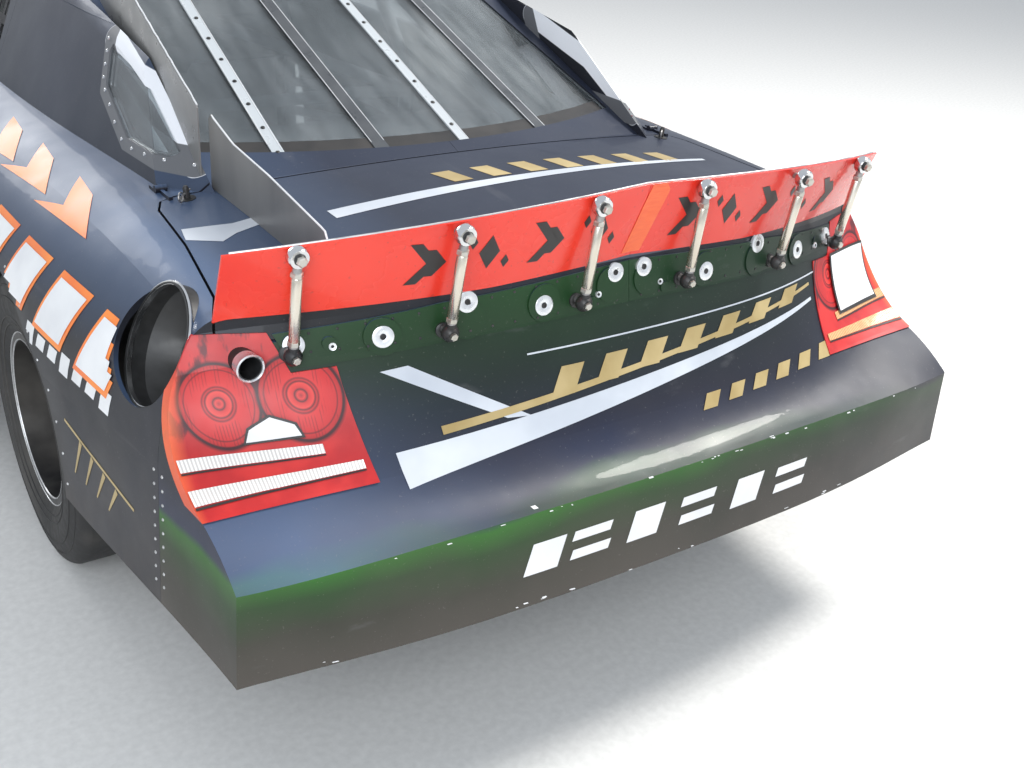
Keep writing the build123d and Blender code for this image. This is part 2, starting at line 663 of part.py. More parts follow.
# Glass in the openings, with the strips and the fin that lie on it
glass_layer = skin_layer(greenhouse_volume, GLASS_INSET, GLASS_THICKNESS)
strap_layer = skin_layer(greenhouse_volume, GLASS_INSET - SEAT_GAP - STRAP_THICKNESS, STRAP_THICKNESS)
glass_parts = {}
for glass_name, pane_edges, bow, facing in (
    ("windshield", WINDSHIELD_EDGES, WINDSHIELD_BOW, -1),
    ("rear_window", BACKLIGHT_EDGES, BACKLIGHT_BOW, 1),
):
    (front_y, front_x), (rear_y, rear_x) = pane_edges
    shrunk = ((front_y + GLASS_GAP, front_x - GLASS_GAP), (rear_y - GLASS_GAP, rear_x - GLASS_GAP))
    with BuildPart() as pane:
        with BuildSketch(Plane.XY.offset(GLASS_LOW_Z)):
            add(bowed_outline(*shrunk, bow, facing))
            make_face()
        extrude(amount=400, clean=False)
        add(glass_layer, mode=Mode.INTERSECT, clean=False)
    glass_parts[glass_name] = pane.part
with BuildPart() as side_windows:
    for side in (1, -1):
        with BuildSketch(Plane.YZ.offset(side * (SAIL_X + SKIN))):
            with BuildLine():
                Polyline(*QUARTER_WINDOW, close=True)
            make_face()
            fillet(vertices(), WINDOW_CORNER)
            offset(amount=-GLASS_GAP)
        extrude(amount=side * 1000, clean=False)
    add(glass_layer, mode=Mode.INTERSECT, clean=False)
with BuildPart() as window_strips:
    with BuildSketch(Plane.XY.offset(GLASS_LOW_Z)):
        for foot_x, top_x, width in WINDOW_STRIPS:
            foot_y, top_y = BACKLIGHT_EDGES[1][0] + 30, BACKLIGHT_EDGES[0][0] - 25
            with BuildLine():
                Polyline(
                    (foot_x - width / 2, foot_y), (foot_x + width / 2, foot_y),
                    (top_x + width / 2, top_y), (top_x - width / 2, top_y), close=True,
                )
            make_face()
    extrude(amount=400, clean=False)
    with BuildSketch(Plane.XY.offset(GLASS_LOW_Z)):
        (front_y, front_x), (rear_y, rear_x) = BACKLIGHT_EDGES
        add(bowed_outline((front_y + GLASS_GAP, front_x), (rear_y - GLASS_GAP, rear_x), BACKLIGHT_BOW, 1))
        make_face()
    extrude(amount=400, mode=Mode.INTERSECT, clean=False)
    add(strap_layer, mode=Mode.INTERSECT, clean=False)


def fin_plate(foot, head, profile):
    """Thin upright plate over the plan line from foot to head; profile gives distance along it and height."""
    run = Vector(head[0] - foot[0], head[1] - foot[1], 0)
    plane = Plane(origin=(foot[0], foot[1], 0), x_dir=run, z_dir=run.cross(Vector(0, 0, 1)))
    with BuildPart() as plate:
        with BuildSketch(plane):
            with BuildLine():
                Polyline(*profile, close=True)
            make_face()
        extrude(amount=FIN_THICKNESS / 2, both=True, clean=False)
        add(body_volume(-SEAT_GAP, 60, 0), mode=Mode.SUBTRACT, clean=False)
        add(greenhouse_volume(-SEAT_GAP), mode=Mode.SUBTRACT, clean=False)
    return plate.part


window_fin = fin_plate(WINDOW_FIN_FOOT, WINDOW_FIN_HEAD, WINDOW_FIN_PROFILE)
deck_fin = fin_plate(DECK_FIN_FOOT, DECK_FIN_HEAD, DECK_FIN_PROFILE)



def tail_form(inset):
    """Lower body cut by the tail's face, moved inwards by inset."""
    with BuildPart() as form:
        add(body_volume(inset, 60, 60))
        add(tail_volume(inset), mode=Mode.INTERSECT, clean=False)
    return form.part


# Lamps, spoiler base and washers follow the tail's face
lamp_layer = skin_layer(tail_form, -LAMP_GAP - LAMP_THICKNESS, LAMP_THICKNESS)
plate_layer = skin_layer(tail_volume, -SEAT_GAP - PLATE_THICKNESS, PLATE_THICKNESS)
washer_layer = skin_layer(tail_volume, -2 * SEAT_GAP - PLATE_THICKNESS - WASHER_THICKNESS, WASHER_THICKNESS)
with BuildPart() as tail_lamps:
    with BuildSketch(Plane.XZ.offset(-2700)):
        with BuildLine():
            Polyline(*LAMP_OUTLINE, close=True)
        make_face()
        mirror(about=Plane.YZ)
        with Locations((VENT_TUBE[0], VENT_TUBE[2])):
            Circle(VENT_TUBE_RADIUS + SEAT_GAP, mode=Mode.SUBTRACT)
    extrude(amount=LAMP_REACH, clean=False)
    add(lamp_layer, mode=Mode.INTERSECT, clean=False)
    add(tail_volume(LAMP_WRAP), mode=Mode.SUBTRACT, clean=False)
    with BuildSketch(filler_plane):
        Circle(FILLER_RADIUS + SEAT_GAP)
    extrude(amount=FILLER_CUT, both=True, mode=Mode.SUBTRACT, clean=False)
with BuildPart() as spoiler_base:
    with BuildSketch(Plane.XZ.offset(-2700)):
        with BuildLine():
            Polyline(*BASE_OUTLINE, close=True)
        make_face()
        mirror(about=Plane.YZ)
    extrude(amount=600, clean=False)
    add(plate_layer, mode=Mode.INTERSECT, clean=False)
with BuildPart() as spoiler_washers:
    with BuildSketch(Plane.XZ.offset(-2700)):
        for x, z, radius in WASHERS:
            with Locations((x, z), (-x, z)):
                Circle(radius)
    extrude(amount=600, clean=False)
    add(washer_layer, mode=Mode.INTERSECT, clean=False)
def blade_form(grow):
    """The two halves of the blade, grown by grow on their faces."""
    with BuildPart() as blade:
        for side in (1, -1):
            for x, foot_y, foot_z, head_y, head_z in BLADE_PROFILES:
                with BuildSketch(Plane.YZ.offset(side * x)):
                    with BuildLine():
                        lean = Vector(head_y - foot_y, head_z - foot_z).normalized()
                        rearward = Vector(lean.Y, -lean.X)
                        foot = Vector(foot_y, foot_z) - rearward * grow
                        head = Vector(head_y, head_z) - rearward * grow
                        depth = rearward * (BLADE_THICKNESS + 2 * grow)
                        Polyline(foot, foot + depth, head + depth, head, close=True)
                    make_face()
            loft(clean=False)
        add(body_volume(-SEAT_GAP, 60, 0), mode=Mode.SUBTRACT, clean=False)
    return blade.part


spoiler_blade = blade_form(0)


def bar(start, end, radius):
    """Round bar between two points."""
    start, end = Vector(*start), Vector(*end)
    with BuildPart() as rod:
        with BuildSketch(Plane(origin=start, z_dir=end - start)):
            Circle(radius)
        extrude(amount=(end - start).length)
    return rod.part


def tube_frame(runs, radius):
    """Bars along open runs of points, with a joint ball at each bend and at each point that runs share."""
    points = [tuple(point) for run in runs for point in run]
    bends = {tuple(point) for run in runs for point in run[1:-1]}
    joints = sorted(bends | {point for point in points if points.count(point) > 1})
    with BuildPart() as frame:
        bars = [bar(start, end, radius) for run in runs for start, end in zip(run, run[1:])]
        add(bars)
        with Locations(joints):
            Sphere(radius * JOINT_BALL)
    return frame.part


with BuildPart() as spoiler_struts:
    for side in (1, -1):
        for foot_x, foot_y, foot_z, head_x, head_y, head_z in STRUTS:
            foot, head = (side * foot_x, foot_y, foot_z), (side * head_x, head_y, head_z)
            add(bar(foot, head, STRUT_RADIUS), clean=False)
            add(bar(foot, (foot[0], foot_y - STRUT_FOOT_STUD, foot_z), 7), clean=False)
            add(bar(head, (head[0], head_y - STRUT_HEAD_STUD, head_z), 6), clean=False)
            for point in (foot, head):
                with Locations(point):
                    Sphere(STRUT_BALL)
    add(tail_volume(-3 * SEAT_GAP - PLATE_THICKNESS - WASHER_THICKNESS), mode=Mode.SUBTRACT, clean=False)
    add(blade_form(SEAT_GAP), mode=Mode.SUBTRACT, clean=False)

# Fuel filler bucket with its coupling, and the vent tube
with BuildPart() as fuel_fittings:
    filler_side = Vector(0, 1, 0).cross(filler_plane.z_dir)
    with BuildSketch(Plane(origin=filler_plane.origin, x_dir=(0, 1, 0), z_dir=filler_side)):
        with BuildLine():
            Polyline(
                (0, -FILLER_DEPTH), (FILLER_THROAT, -FILLER_DEPTH), (FILLER_RADIUS, -FILLER_COLLAR),
                (FILLER_RADIUS, 6), (FILLER_RADIUS - FILLER_WALL, 6),
                (FILLER_RADIUS - FILLER_WALL, -FILLER_COLLAR + 1),
                (FILLER_THROAT - FILLER_WALL, -FILLER_DEPTH + FILLER_WALL),
                (0, -FILLER_DEPTH + FILLER_WALL), close=True,
            )
        make_face()
    revolve(axis=Axis(filler_plane.origin, filler_plane.z_dir))
    with BuildSketch(filler_plane.offset(-FILLER_DEPTH + FILLER_WALL)):
        Circle(COUPLING_RADIUS)
        Circle(COUPLING_BORE, mode=Mode.SUBTRACT)
    extrude(amount=COUPLING_LENGTH)
    with BuildSketch(Plane.XZ.offset(-VENT_TUBE[1] - 5)):
        with Locations((VENT_TUBE[0], VENT_TUBE[2])):
            Circle(VENT_TUBE_RADIUS)
            Circle(VENT_TUBE_RADIUS - 3, mode=Mode.SUBTRACT)
    extrude(amount=VENT_TUBE_LENGTH)


def rails(grow=0.0):
    """Box rails on both sides of the car, grown by grow all round."""
    with BuildPart() as beams:
        for side in (1, -1):
            for outline, inner_x, outer_x in (SIDE_RAIL, REAR_RAIL, FRONT_RAIL, TOWER):
                with BuildSketch(Plane.YZ.offset(side * (inner_x - grow))):
                    with BuildLine():
                        Polyline(*outline, close=True)
                    make_face()
                    if grow:
                        offset(amount=grow, kind=Kind.INTERSECTION)
                extrude(amount=side * (outer_x - inner_x + 2 * grow))
    return beams.part


def cross_members(grow=0.0):
    """Box members across the car, grown by grow all round."""
    with BuildPart() as members:
        for front_y, rear_y, low_z, high_z, half in CROSS_MEMBERS:
            low = (-half - grow, front_y - grow, low_z - grow)
            add(box_between(low, (half + grow, rear_y + grow, high_z + grow)))
    return members.part


rails_room = rails(SEAT_GAP)
with BuildPart() as body_mounts:
    for low, high in BODY_MOUNTS:
        add(box_between(low, high))
    mirror(about=Plane.YZ)
    add(whole_volume(SKIN + SEAT_GAP, 0, 60), mode=Mode.INTERSECT, clean=False)
with BuildPart() as roof_posts:
    post_x, post_y, post_radius = ROOF_POST
    for x in (post_x, -post_x):
        add(bar((x, post_y, CAGE_SIDE[0][2][2]), (x, post_y, 1400), post_radius))
    add(greenhouse_volume(SKIN + SEAT_GAP), mode=Mode.INTERSECT, clean=False)
with BuildPart() as tow_eyes:
    for side in (1, -1):
        with BuildSketch(Plane.XY.offset(TOW_EYE[2] - TOW_EYE_PLATE / 2)):
            with Locations((side * TOW_EYE[0], TOW_EYE[1])):
                Circle(2.2 * TOW_EYE_BORE)
            with Locations((side * TOW_EYE[0], TOW_EYE[1] - 30)):
                Rectangle(4.4 * TOW_EYE_BORE, 70)
            with Locations((side * TOW_EYE[0], TOW_EYE[1])):
                Circle(TOW_EYE_BORE, mode=Mode.SUBTRACT)
        extrude(amount=TOW_EYE_PLATE)
# Members seat between the rails; mounts and tow eyes seat on both
with BuildPart() as seated_members:
    add(cross_members())
    add(rails_room, mode=Mode.SUBTRACT, clean=False)
with BuildPart() as seated_mounts:
    add(body_mounts.part)
    add(tow_eyes.part)
    add(rails_room, mode=Mode.SUBTRACT, clean=False)
    add(cross_members(SEAT_GAP), mode=Mode.SUBTRACT, clean=False)
with BuildPart() as frame_rails:
    add(rails())
    add(seated_members.part)
    add(seated_mounts.part)
door_bars = [[(650, 330, z), (x, 80, z), (x, -350, z), (650, -600, z)] for z, x in DOOR_BARS]
with BuildPart() as roll_cage:
    add(tube_frame(CAGE_SIDE, CAGE_RADIUS))
    add(tube_frame(door_bars, DOOR_BAR_RADIUS))
    mirror(about=Plane.YZ)
    add(tube_frame(CAGE_ACROSS, CROSS_BAR_RADIUS))
    add(roof_posts.part)
with BuildPart() as floor_pan:
    floor_low, floor_high = FLOOR_Z - SHEET / 2, FLOOR_Z + SHEET / 2
    add(box_between((-FLOOR_HALF, FIREWALL_Y, floor_low), (FLOOR_HALF, BULKHEAD_Y + SHEET, floor_high)))
    add(box_between((-FLOOR_HALF, FIREWALL_Y, floor_low), (FLOOR_HALF, FIREWALL_Y + SHEET, FIREWALL_TOP)))
    add(box_between((-FLOOR_HALF, BULKHEAD_Y, floor_low), (FLOOR_HALF, BULKHEAD_Y + SHEET, BULKHEAD_TOP)))
    with BuildSketch(Plane.YZ):
        with BuildLine():
            Polyline(
                (BULKHEAD_Y, BULKHEAD_TOP - SHEET), TRAY_END, (TRAY_END[0], TRAY_END[1] + SHEET),
                (BULKHEAD_Y, BULKHEAD_TOP), close=True,
            )
        make_face()
    extrude(amount=FLOOR_HALF, both=True)
    tunnel_rear = BULKHEAD_Y + SHEET
    tunnel = box_between((-TUNNEL_HALF, FIREWALL_Y, 0), (TUNNEL_HALF, tunnel_rear, TUNNEL_TOP))
    add(tunnel, mode=Mode.SUBTRACT)
    for side in (-1, 1):
        near, far = sorted((side * TUNNEL_HALF, side * (TUNNEL_HALF + SHEET)))
        add(box_between((near, FIREWALL_Y, floor_low), (far, tunnel_rear, TUNNEL_TOP)))
    outer = TUNNEL_HALF + SHEET
    add(box_between((-outer, FIREWALL_Y, TUNNEL_TOP), (outer, tunnel_rear, TUNNEL_TOP + SHEET)))
    for side in (1, -1):
        leg = [(side * x, y, z) for x, y, z in CAGE_SIDE[2]]
        add(tube_frame([leg], CAGE_RADIUS + SEAT_GAP), mode=Mode.SUBTRACT)
    add(whole_volume(SKIN + SEAT_GAP, 0, 60), mode=Mode.INTERSECT, clean=False)

with BuildPart() as engine:
    add(box_between(*ENGINE))
    fillet(edges(), 20)
with BuildPart() as radiator:
    add(box_between(*RADIATOR))
with BuildPart() as fuel_cell:
    add(box_between(*FUEL_CELL))
    fillet(edges().filter_by(Axis.X), 30)
with BuildPart() as driveline:
    add(bar((0, ENGINE[1][1] + SEAT_GAP, AXLE_Z), (0, GEARBOX_END, AXLE_Z), GEARBOX_RADIUS))
    add(bar((0, GEARBOX_END, AXLE_Z), (0, REAR_AXLE_Y, AXLE_Z), SHAFT_RADIUS))
    axle_end = WHEEL_X - HUB_DEPTH - SEAT_GAP
    add(bar((-axle_end, REAR_AXLE_Y, AXLE_Z), (axle_end, REAR_AXLE_Y, AXLE_Z), AXLE_RADIUS))
    add(bar((-DIFF_HALF, REAR_AXLE_Y, AXLE_Z), (DIFF_HALF, REAR_AXLE_Y, AXLE_Z), DIFF_RADIUS))
    for side in (1, -1):
        end = Vector(side * axle_end, REAR_AXLE_Y, AXLE_Z)
        add(bar(end - Vector(side * 30, 0, 0), end, AXLE_FLANGE))
        add(bar(end, end + Vector(side * SPINDLE_REACH, 0, 0), SPINDLE_RADIUS))
with BuildPart() as exhaust_pipes:
    for exit_y, side in zip(PIPE_EXITS, (-1, 1)):
        near, far = sorted((side * PIPE_X, side * (PIPE_X + PIPE_WIDTH)))
        pipe_high = ENGINE[0][2] - SEAT_GAP
        add(box_between((near, PIPE_FRONT, PIPE_LOW), (far, PIPE_FRONT + PIPE_WIDTH, pipe_high)))
        add(box_between((near, PIPE_FRONT, PIPE_LOW), (far, exit_y + PIPE_WIDTH, PIPE_HIGH)))
        add(box_between((PIPE_END_X, exit_y, PIPE_LOW), (far, exit_y + PIPE_WIDTH, PIPE_HIGH)))


def wheel_plane(side, axle_y):
    """Plane through a wheel's middle whose normal points outboard."""
    return Plane(origin=(side * WHEEL_X, axle_y, AXLE_Z), x_dir=(0, 1, 0), z_dir=(side, 0, 0))


def rim_part(side, axle_y):
    """Wheel with its disc, hub and lugs."""
    plane = wheel_plane(side, axle_y)
    half = RIM_WIDTH / 2
    with BuildPart() as rim:
        with BuildSketch(plane):
            Circle(RIM_RADIUS)
            Circle(RIM_RADIUS - RIM_WALL, mode=Mode.SUBTRACT)
        extrude(amount=half, both=True)
        for start in (-half, half - RIM_WALL):
            with BuildSketch(plane.offset(start)):
                Circle(RIM_RADIUS + BEAD_LIP)
                Circle(RIM_RADIUS - RIM_WALL, mode=Mode.SUBTRACT)
            extrude(amount=RIM_WALL)
        with BuildSketch(plane.offset(DISC_OFFSET)):
            Circle(RIM_RADIUS - RIM_WALL / 2)
            with PolarLocations(VENT_CIRCLE, VENT_COUNT):
                Circle(VENT_RADIUS, mode=Mode.SUBTRACT)
        extrude(amount=DISC_THICKNESS)
        with BuildSketch(plane.offset(-HUB_DEPTH)):
            Circle(HUB_RADIUS)
        extrude(amount=HUB_DEPTH + DISC_OFFSET + DISC_THICKNESS + 8)
        with BuildSketch(plane.offset(DISC_OFFSET + DISC_THICKNESS)):
            with PolarLocations(LUG_CIRCLE, LUG_COUNT):
                Circle(LUG_RADIUS)
        extrude(amount=LUG_LENGTH)
        with BuildSketch(plane.offset(-HUB_DEPTH)):
            Circle(SPINDLE_RADIUS + PIN_GAP)
        extrude(amount=SPINDLE_REACH + MOVING_GAP, mode=Mode.SUBTRACT)
    return rim.part


def tyre_part(side, axle_y):
    """Slick tyre seated on the rim between its lips."""
    plane = wheel_plane(side, axle_y)
    bead = RIM_WIDTH / 2 - RIM_WALL - SEAT_GAP
    inner, lip = RIM_RADIUS + SEAT_GAP, RIM_RADIUS + BEAD_LIP + SEAT_GAP
    half = TYRE_WIDTH / 2
    with BuildPart() as tyre:
        with BuildSketch(Plane(origin=plane.origin, x_dir=(0, 1, 0), z_dir=(0, 0, 1))):
            with BuildLine():
                low = Polyline((inner, 0), (inner, bead), (lip, bead), (lip, bead + 8))
                wall_end = (TYRE_RADIUS - TYRE_SHOULDER, half - 6)
                wall = ThreePointArc(low @ 1, (TYRE_RADIUS - 80, half), wall_end)
                tread_edge = (TYRE_RADIUS, half - TYRE_SHOULDER)
                shoulder = ThreePointArc(wall @ 1, (TYRE_RADIUS - 8, half - 18), tread_edge)
                Line(shoulder @ 1, (TYRE_RADIUS, 0))
                mirror(about=Plane.XZ)
            make_face()
        revolve(axis=Axis(plane.origin, (1, 0, 0)))
    return tyre.part


def upright_part(side):
    """Front upright with its spindle and steering arm."""
    low, high = UPRIGHT
    near, far = sorted((side * low[0], side * high[0]))
    with BuildPart() as upright:
        add(box_between(
            (near, FRONT_AXLE_Y + low[1], AXLE_Z + low[2]), (far, FRONT_AXLE_Y + high[1], AXLE_Z + high[2])
        ))
        spindle_start = Vector(side * (high[0] - 5), FRONT_AXLE_Y, AXLE_Z)
        spindle_end = Vector(side * (WHEEL_X - HUB_DEPTH + SPINDLE_REACH), FRONT_AXLE_Y, AXLE_Z)
        add(bar(spindle_start, spindle_end, SPINDLE_RADIUS))
        arm_near, arm_far = sorted((side * (low[0] - 8), side * (low[0] + 20)))
        add(box_between(
            (arm_near, FRONT_AXLE_Y, STEER_ARM_Z - 10),
            (arm_far, FRONT_AXLE_Y + STEER_ARM + 14, STEER_ARM_Z + 10)
        ))
        for end, depth in ((high[2], -KINGPIN_DEPTH), (low[2], KINGPIN_DEPTH)):
            with BuildSketch(Plane.XY.offset(AXLE_Z + end)):
                with Locations((side * KINGPIN_X, FRONT_AXLE_Y)):
                    Circle(KINGPIN_STUD + PIN_GAP)
            extrude(amount=depth, mode=Mode.SUBTRACT)
    return upright.part


with BuildPart() as steering_link:
    link_z = STEER_ARM_Z - 10 - SEAT_GAP - 12
    link_y = FRONT_AXLE_Y + STEER_ARM
    link_x = UPRIGHT[0][0] + 6
    add(bar((-link_x, link_y, link_z), (link_x, link_y, link_z), 10))
    for side in (1, -1):
        add(bar((side * link_x, link_y, link_z - 12), (side * link_x, link_y, link_z + 12), 16))
with BuildPart() as suspension_arms:
    arm_x = FRONT_RAIL[2] + SEAT_GAP
    low_ball_z = AXLE_Z + UPRIGHT[0][2] - BALL_RADIUS - PIN_GAP
    high_ball_z = AXLE_Z + UPRIGHT[1][2] + BALL_RADIUS + PIN_GAP
    for side in (1, -1):
        for ball_z in (low_ball_z, high_ball_z):
            with BuildSketch(Plane.XY.offset(ball_z - ARM_HEIGHT / 2)):
                with BuildLine():
                    Polyline(
                        (side * arm_x, FRONT_AXLE_Y - ARM_SPREAD),
                        (side * arm_x, FRONT_AXLE_Y + ARM_SPREAD),
                        (side * KINGPIN_X, FRONT_AXLE_Y + ARM_TIP),
                        (side * KINGPIN_X, FRONT_AXLE_Y - ARM_TIP), close=True,
                    )
                make_face()
            extrude(amount=ARM_HEIGHT)
            with Locations((side * KINGPIN_X, FRONT_AXLE_Y, ball_z)):
                Sphere(BALL_RADIUS)
            inward = 1 if ball_z < AXLE_Z else -1
            stud_z = ball_z + inward * (BALL_RADIUS + KINGPIN_DEPTH)
            stud_x = side * KINGPIN_X
            add(bar((stud_x, FRONT_AXLE_Y, ball_z), (stud_x, FRONT_AXLE_Y, stud_z), KINGPIN_STUD))
        spring_x = side * SPRING_X
        add(bar((spring_x, FRONT_AXLE_Y, low_ball_z), (spring_x, FRONT_AXLE_Y, high_ball_z), SPRING_RADIUS))
    for side in (1, -1):
        axle_low = AXLE_Z - AXLE_RADIUS - SEAT_GAP
        arm_start = (side * TRAILING_X, CROSS_MEMBERS[1][1] + SEAT_GAP, 200)
        arm_end = (side * TRAILING_X, REAR_AXLE_Y, axle_low - 30)
        add(box_between(
            (side * TRAILING_X - 20, arm_start[1], 180), (side * TRAILING_X + 20, arm_start[1] + 40, 220)
        ))
        add(bar((arm_start[0], arm_start[1] + 20, 200), arm_end, ARM_RADIUS))
        add(bar(arm_end, (arm_end[0], arm_end[1], axle_low), 28))
        rail_low = REAR_RAIL[0][2][1]
        add(bar(
            (side * REAR_SPRING_X, REAR_AXLE_Y, AXLE_Z + AXLE_RADIUS + SEAT_GAP),
            (side * REAR_SPRING_X, REAR_AXLE_Y, rail_low - SEAT_GAP), SPRING_RADIUS
        ))

# Driver's seat, dash, steering wheel, window net and grille
with BuildPart() as driver_seat:
    with BuildSketch(Plane.YZ.offset(SEAT_X)):
        with BuildLine():
            Polyline(*SEAT_SHELL, close=True)
        make_face()
    extrude(amount=SEAT_HALF, both=True)
    with BuildSketch(Plane.YZ.offset(SEAT_X)):
        with BuildLine():
            Polyline(*SEAT_SIDE, close=True)
        make_face()
        fillet(vertices(), 30)
    extrude(amount=SEAT_HALF, both=True)
    with BuildSketch(Plane.YZ.offset(SEAT_X)):
        with BuildLine():
            Polyline(*SEAT_SIDE, close=True)
        make_face()
        with BuildLine():
            Polyline(*SEAT_SHELL, close=True)
        make_face(mode=Mode.SUBTRACT)
    extrude(amount=SEAT_HALF - SEAT_WALL, both=True, mode=Mode.SUBTRACT)
    for y in SEAT_FEET:
        foot_low = FLOOR_Z + SHEET / 2 + SEAT_GAP
        add(box_between((SEAT_X - 150, y, foot_low), (SEAT_X + 150, y + 40, SEAT_SHELL[0][1] + 6)))
with BuildPart() as dash_panel:
    with BuildSketch(Plane.YZ):
        with BuildLine():
            dash_line = [(FIREWALL_Y + SHEET + SEAT_GAP, DASH_LINE[0][1])] + DASH_LINE
            underside = [(dash_line[0][0], dash_line[0][1] - SHEET)]
            underside += [(y - SHEET, z - SHEET) for y, z in DASH_LINE]
            Polyline(*dash_line, *reversed(underside), close=True)
        make_face()
    extrude(amount=DASH_HALF, both=True)
column = Vector(0, -cos(radians(COLUMN_TILT)), -sin(radians(COLUMN_TILT)))
wheel_centre = Vector(*STEERING_WHEEL_AT)
with BuildPart() as steering_wheel:
    steering_plane = Plane(origin=wheel_centre, x_dir=(1, 0, 0), z_dir=-column)
    with BuildSketch(Plane(origin=wheel_centre, x_dir=(1, 0, 0), z_dir=steering_plane.y_dir)):
        with Locations((WHEEL_RING, 0)):
            Circle(WHEEL_GRIP)
    revolve(axis=Axis(wheel_centre, column))
    for turn in (0, 120, 240):
        angle = radians(turn + 30)
        spoke = steering_plane.x_dir * cos(angle) + steering_plane.y_dir * sin(angle)
        add(bar(wheel_centre + column * 30, wheel_centre + spoke * WHEEL_RING, 7))
    add(bar(wheel_centre + column * 15, wheel_centre + column * 45, 38))
    tilt = radians(COLUMN_TILT)
    column_run = STEERING_WHEEL_AT[1] - FIREWALL_Y - SHEET - SEAT_GAP - COLUMN_RADIUS * sin(tilt)
    add(bar(wheel_centre + column * 30, wheel_centre + column * (column_run / cos(tilt)), COLUMN_RADIUS))
net_layer = skin_layer(greenhouse_volume, SKIN + SEAT_GAP, NET_THICKNESS)
with BuildPart() as window_net:
    with BuildSketch(Plane.YZ):
        for z in NET_ROWS:
            with Locations(((NET_FRONT + NET_REAR) / 2, z)):
                Rectangle(NET_REAR - NET_FRONT, NET_RIBBON)
        for index in range(NET_COLUMNS):
            net_y = NET_FRONT + (NET_REAR - NET_FRONT) * index / (NET_COLUMNS - 1)
            with Locations((net_y, (NET_ROWS[0] + NET_ROWS[-1]) / 2)):
                Rectangle(NET_RIBBON, NET_ROWS[-1] - NET_ROWS[0] + NET_RIBBON)
    extrude(amount=1000, clean=False)
    add(net_layer, mode=Mode.INTERSECT, clean=False)
grille_layer = skin_layer(nose_volume, GRILLE_INSET, GRILLE_THICKNESS)
with BuildPart() as grille_mesh:
    for low_z, high_z, half in NOSE_SLOTS:
        with BuildSketch(Plane.XZ):
            with Locations((0, (low_z + high_z) / 2)):
                height = high_z - low_z - 2 * SEAT_GAP
                RectangleRounded(2 * (half - SEAT_GAP), height, NOSE_SLOT_CORNER - SEAT_GAP)
                rows = int((high_z - low_z - 16) // GRILLE_PITCH)
                columns = int((2 * half - 60) // GRILLE_PITCH)
                with GridLocations(GRILLE_PITCH, GRILLE_PITCH, columns, rows):
                    Rectangle(GRILLE_PITCH - GRILLE_BAR, GRILLE_PITCH - GRILLE_BAR, mode=Mode.SUBTRACT)
        extrude(amount=2700, clean=False)
    add(grille_layer, mode=Mode.INTERSECT, clean=False)


def hinge_eye(hinge, side_x, reach):
    """Lug of a lid round its pin; reach is the y run from the pin into the lid."""
    y, z = hinge
    with BuildPart() as eye:
        with BuildSketch(Plane.YZ.offset(side_x - HINGE_WIDTH / 2)):
            with Locations((y, z)):
                Circle(HINGE_EYE)
            with Locations((y + reach / 2, z - HINGE_EYE / 2)):
                Rectangle(abs(reach), HINGE_EYE)
            with Locations((y + reach * 0.75, z - HINGE_EYE)):
                Rectangle(abs(reach) / 2, 2 * HINGE_EYE)
            with Locations((y, z)):
                Circle(HINGE_PIN + PIN_GAP, mode=Mode.SUBTRACT)
        extrude(amount=HINGE_WIDTH)
    return eye.part


def hinge_ears(hinge, side_x, reach):
    """Fixed ears and pin beside a lid's lug; reach is the y run from the pin into the fixed panel."""
    y, z = hinge
    with BuildPart() as ears:
        for start in (-1.5 * HINGE_WIDTH - SEAT_GAP, HINGE_WIDTH / 2 + SEAT_GAP):
            with BuildSketch(Plane.YZ.offset(side_x + start)):
                with Locations((y, z)):
                    Circle(HINGE_EYE)
                with Locations((y + reach / 2, z - HINGE_EYE / 2)):
                    Rectangle(abs(reach), HINGE_EYE)
                with Locations((y + reach * 0.75, z - HINGE_EYE)):
                    Rectangle(abs(reach) / 2, 2 * HINGE_EYE)
            extrude(amount=HINGE_WIDTH)
        with BuildSketch(Plane.YZ.offset(side_x - 1.5 * HINGE_WIDTH)):
            with Locations((y, z)):
                Circle(HINGE_PIN)
        extrude(amount=3 * HINGE_WIDTH)
    return ears.part


def hinge_slot(hinge, side_x, reach):
    """Room in a fixed panel for a lid's lug between its ears."""
    y, z = hinge
    eye_end = y - (HINGE_EYE + PIN_GAP) * (1 if reach > 0 else -1)
    near, far = sorted((eye_end, y + reach))
    half = HINGE_WIDTH / 2 + SEAT_GAP
    return box_between((side_x - half, near, z - HINGE_REACH), (side_x + half, far, z + HINGE_REACH))


hinged = {"hood": hood.part, "deck_lid": deck_lid.part}
fixed_side = {"cowl_panel": cowl_panel.part}
for side in (1, -1):
    with BuildPart() as piece:
        add(hinged["hood"])
        add(hinge_eye(HOOD_HINGE, side * HOOD_HINGE_X, -HOOD_EYE_REACH), clean=False)
    hinged["hood"] = piece.part
    with BuildPart() as piece:
        add(cowl_panel.part if side > 0 else fixed_side["cowl_panel"])
        add(hinge_slot(HOOD_HINGE, side * HOOD_HINGE_X, -HOOD_EYE_REACH), mode=Mode.SUBTRACT, clean=False)
        add(hinge_ears(HOOD_HINGE, side * HOOD_HINGE_X, HINGE_REACH), clean=False)
    fixed_side["cowl_panel"] = piece.part
    with BuildPart() as piece:
        add(hinged["deck_lid"])
        add(hinge_eye(LID_HINGE, side * LID_HINGE_X, LID_EYE_REACH), clean=False)
    hinged["deck_lid"] = piece.part
    quarter_name = "left_quarter" if side > 0 else "right_quarter"
    with BuildPart() as piece:
        add(side_panels[quarter_name])
        add(hinge_slot(LID_HINGE, side * LID_HINGE_X, LID_EYE_REACH), mode=Mode.SUBTRACT, clean=False)
        add(hinge_ears(LID_HINGE, side * LID_HINGE_X, -HINGE_REACH), clean=False)
    side_panels[quarter_name] = piece.part


def exported(solid, name):
    """Label a finished piece and write it as its own file."""
    solid.label = name
    export_step(solid, f"parts/{name}.step")


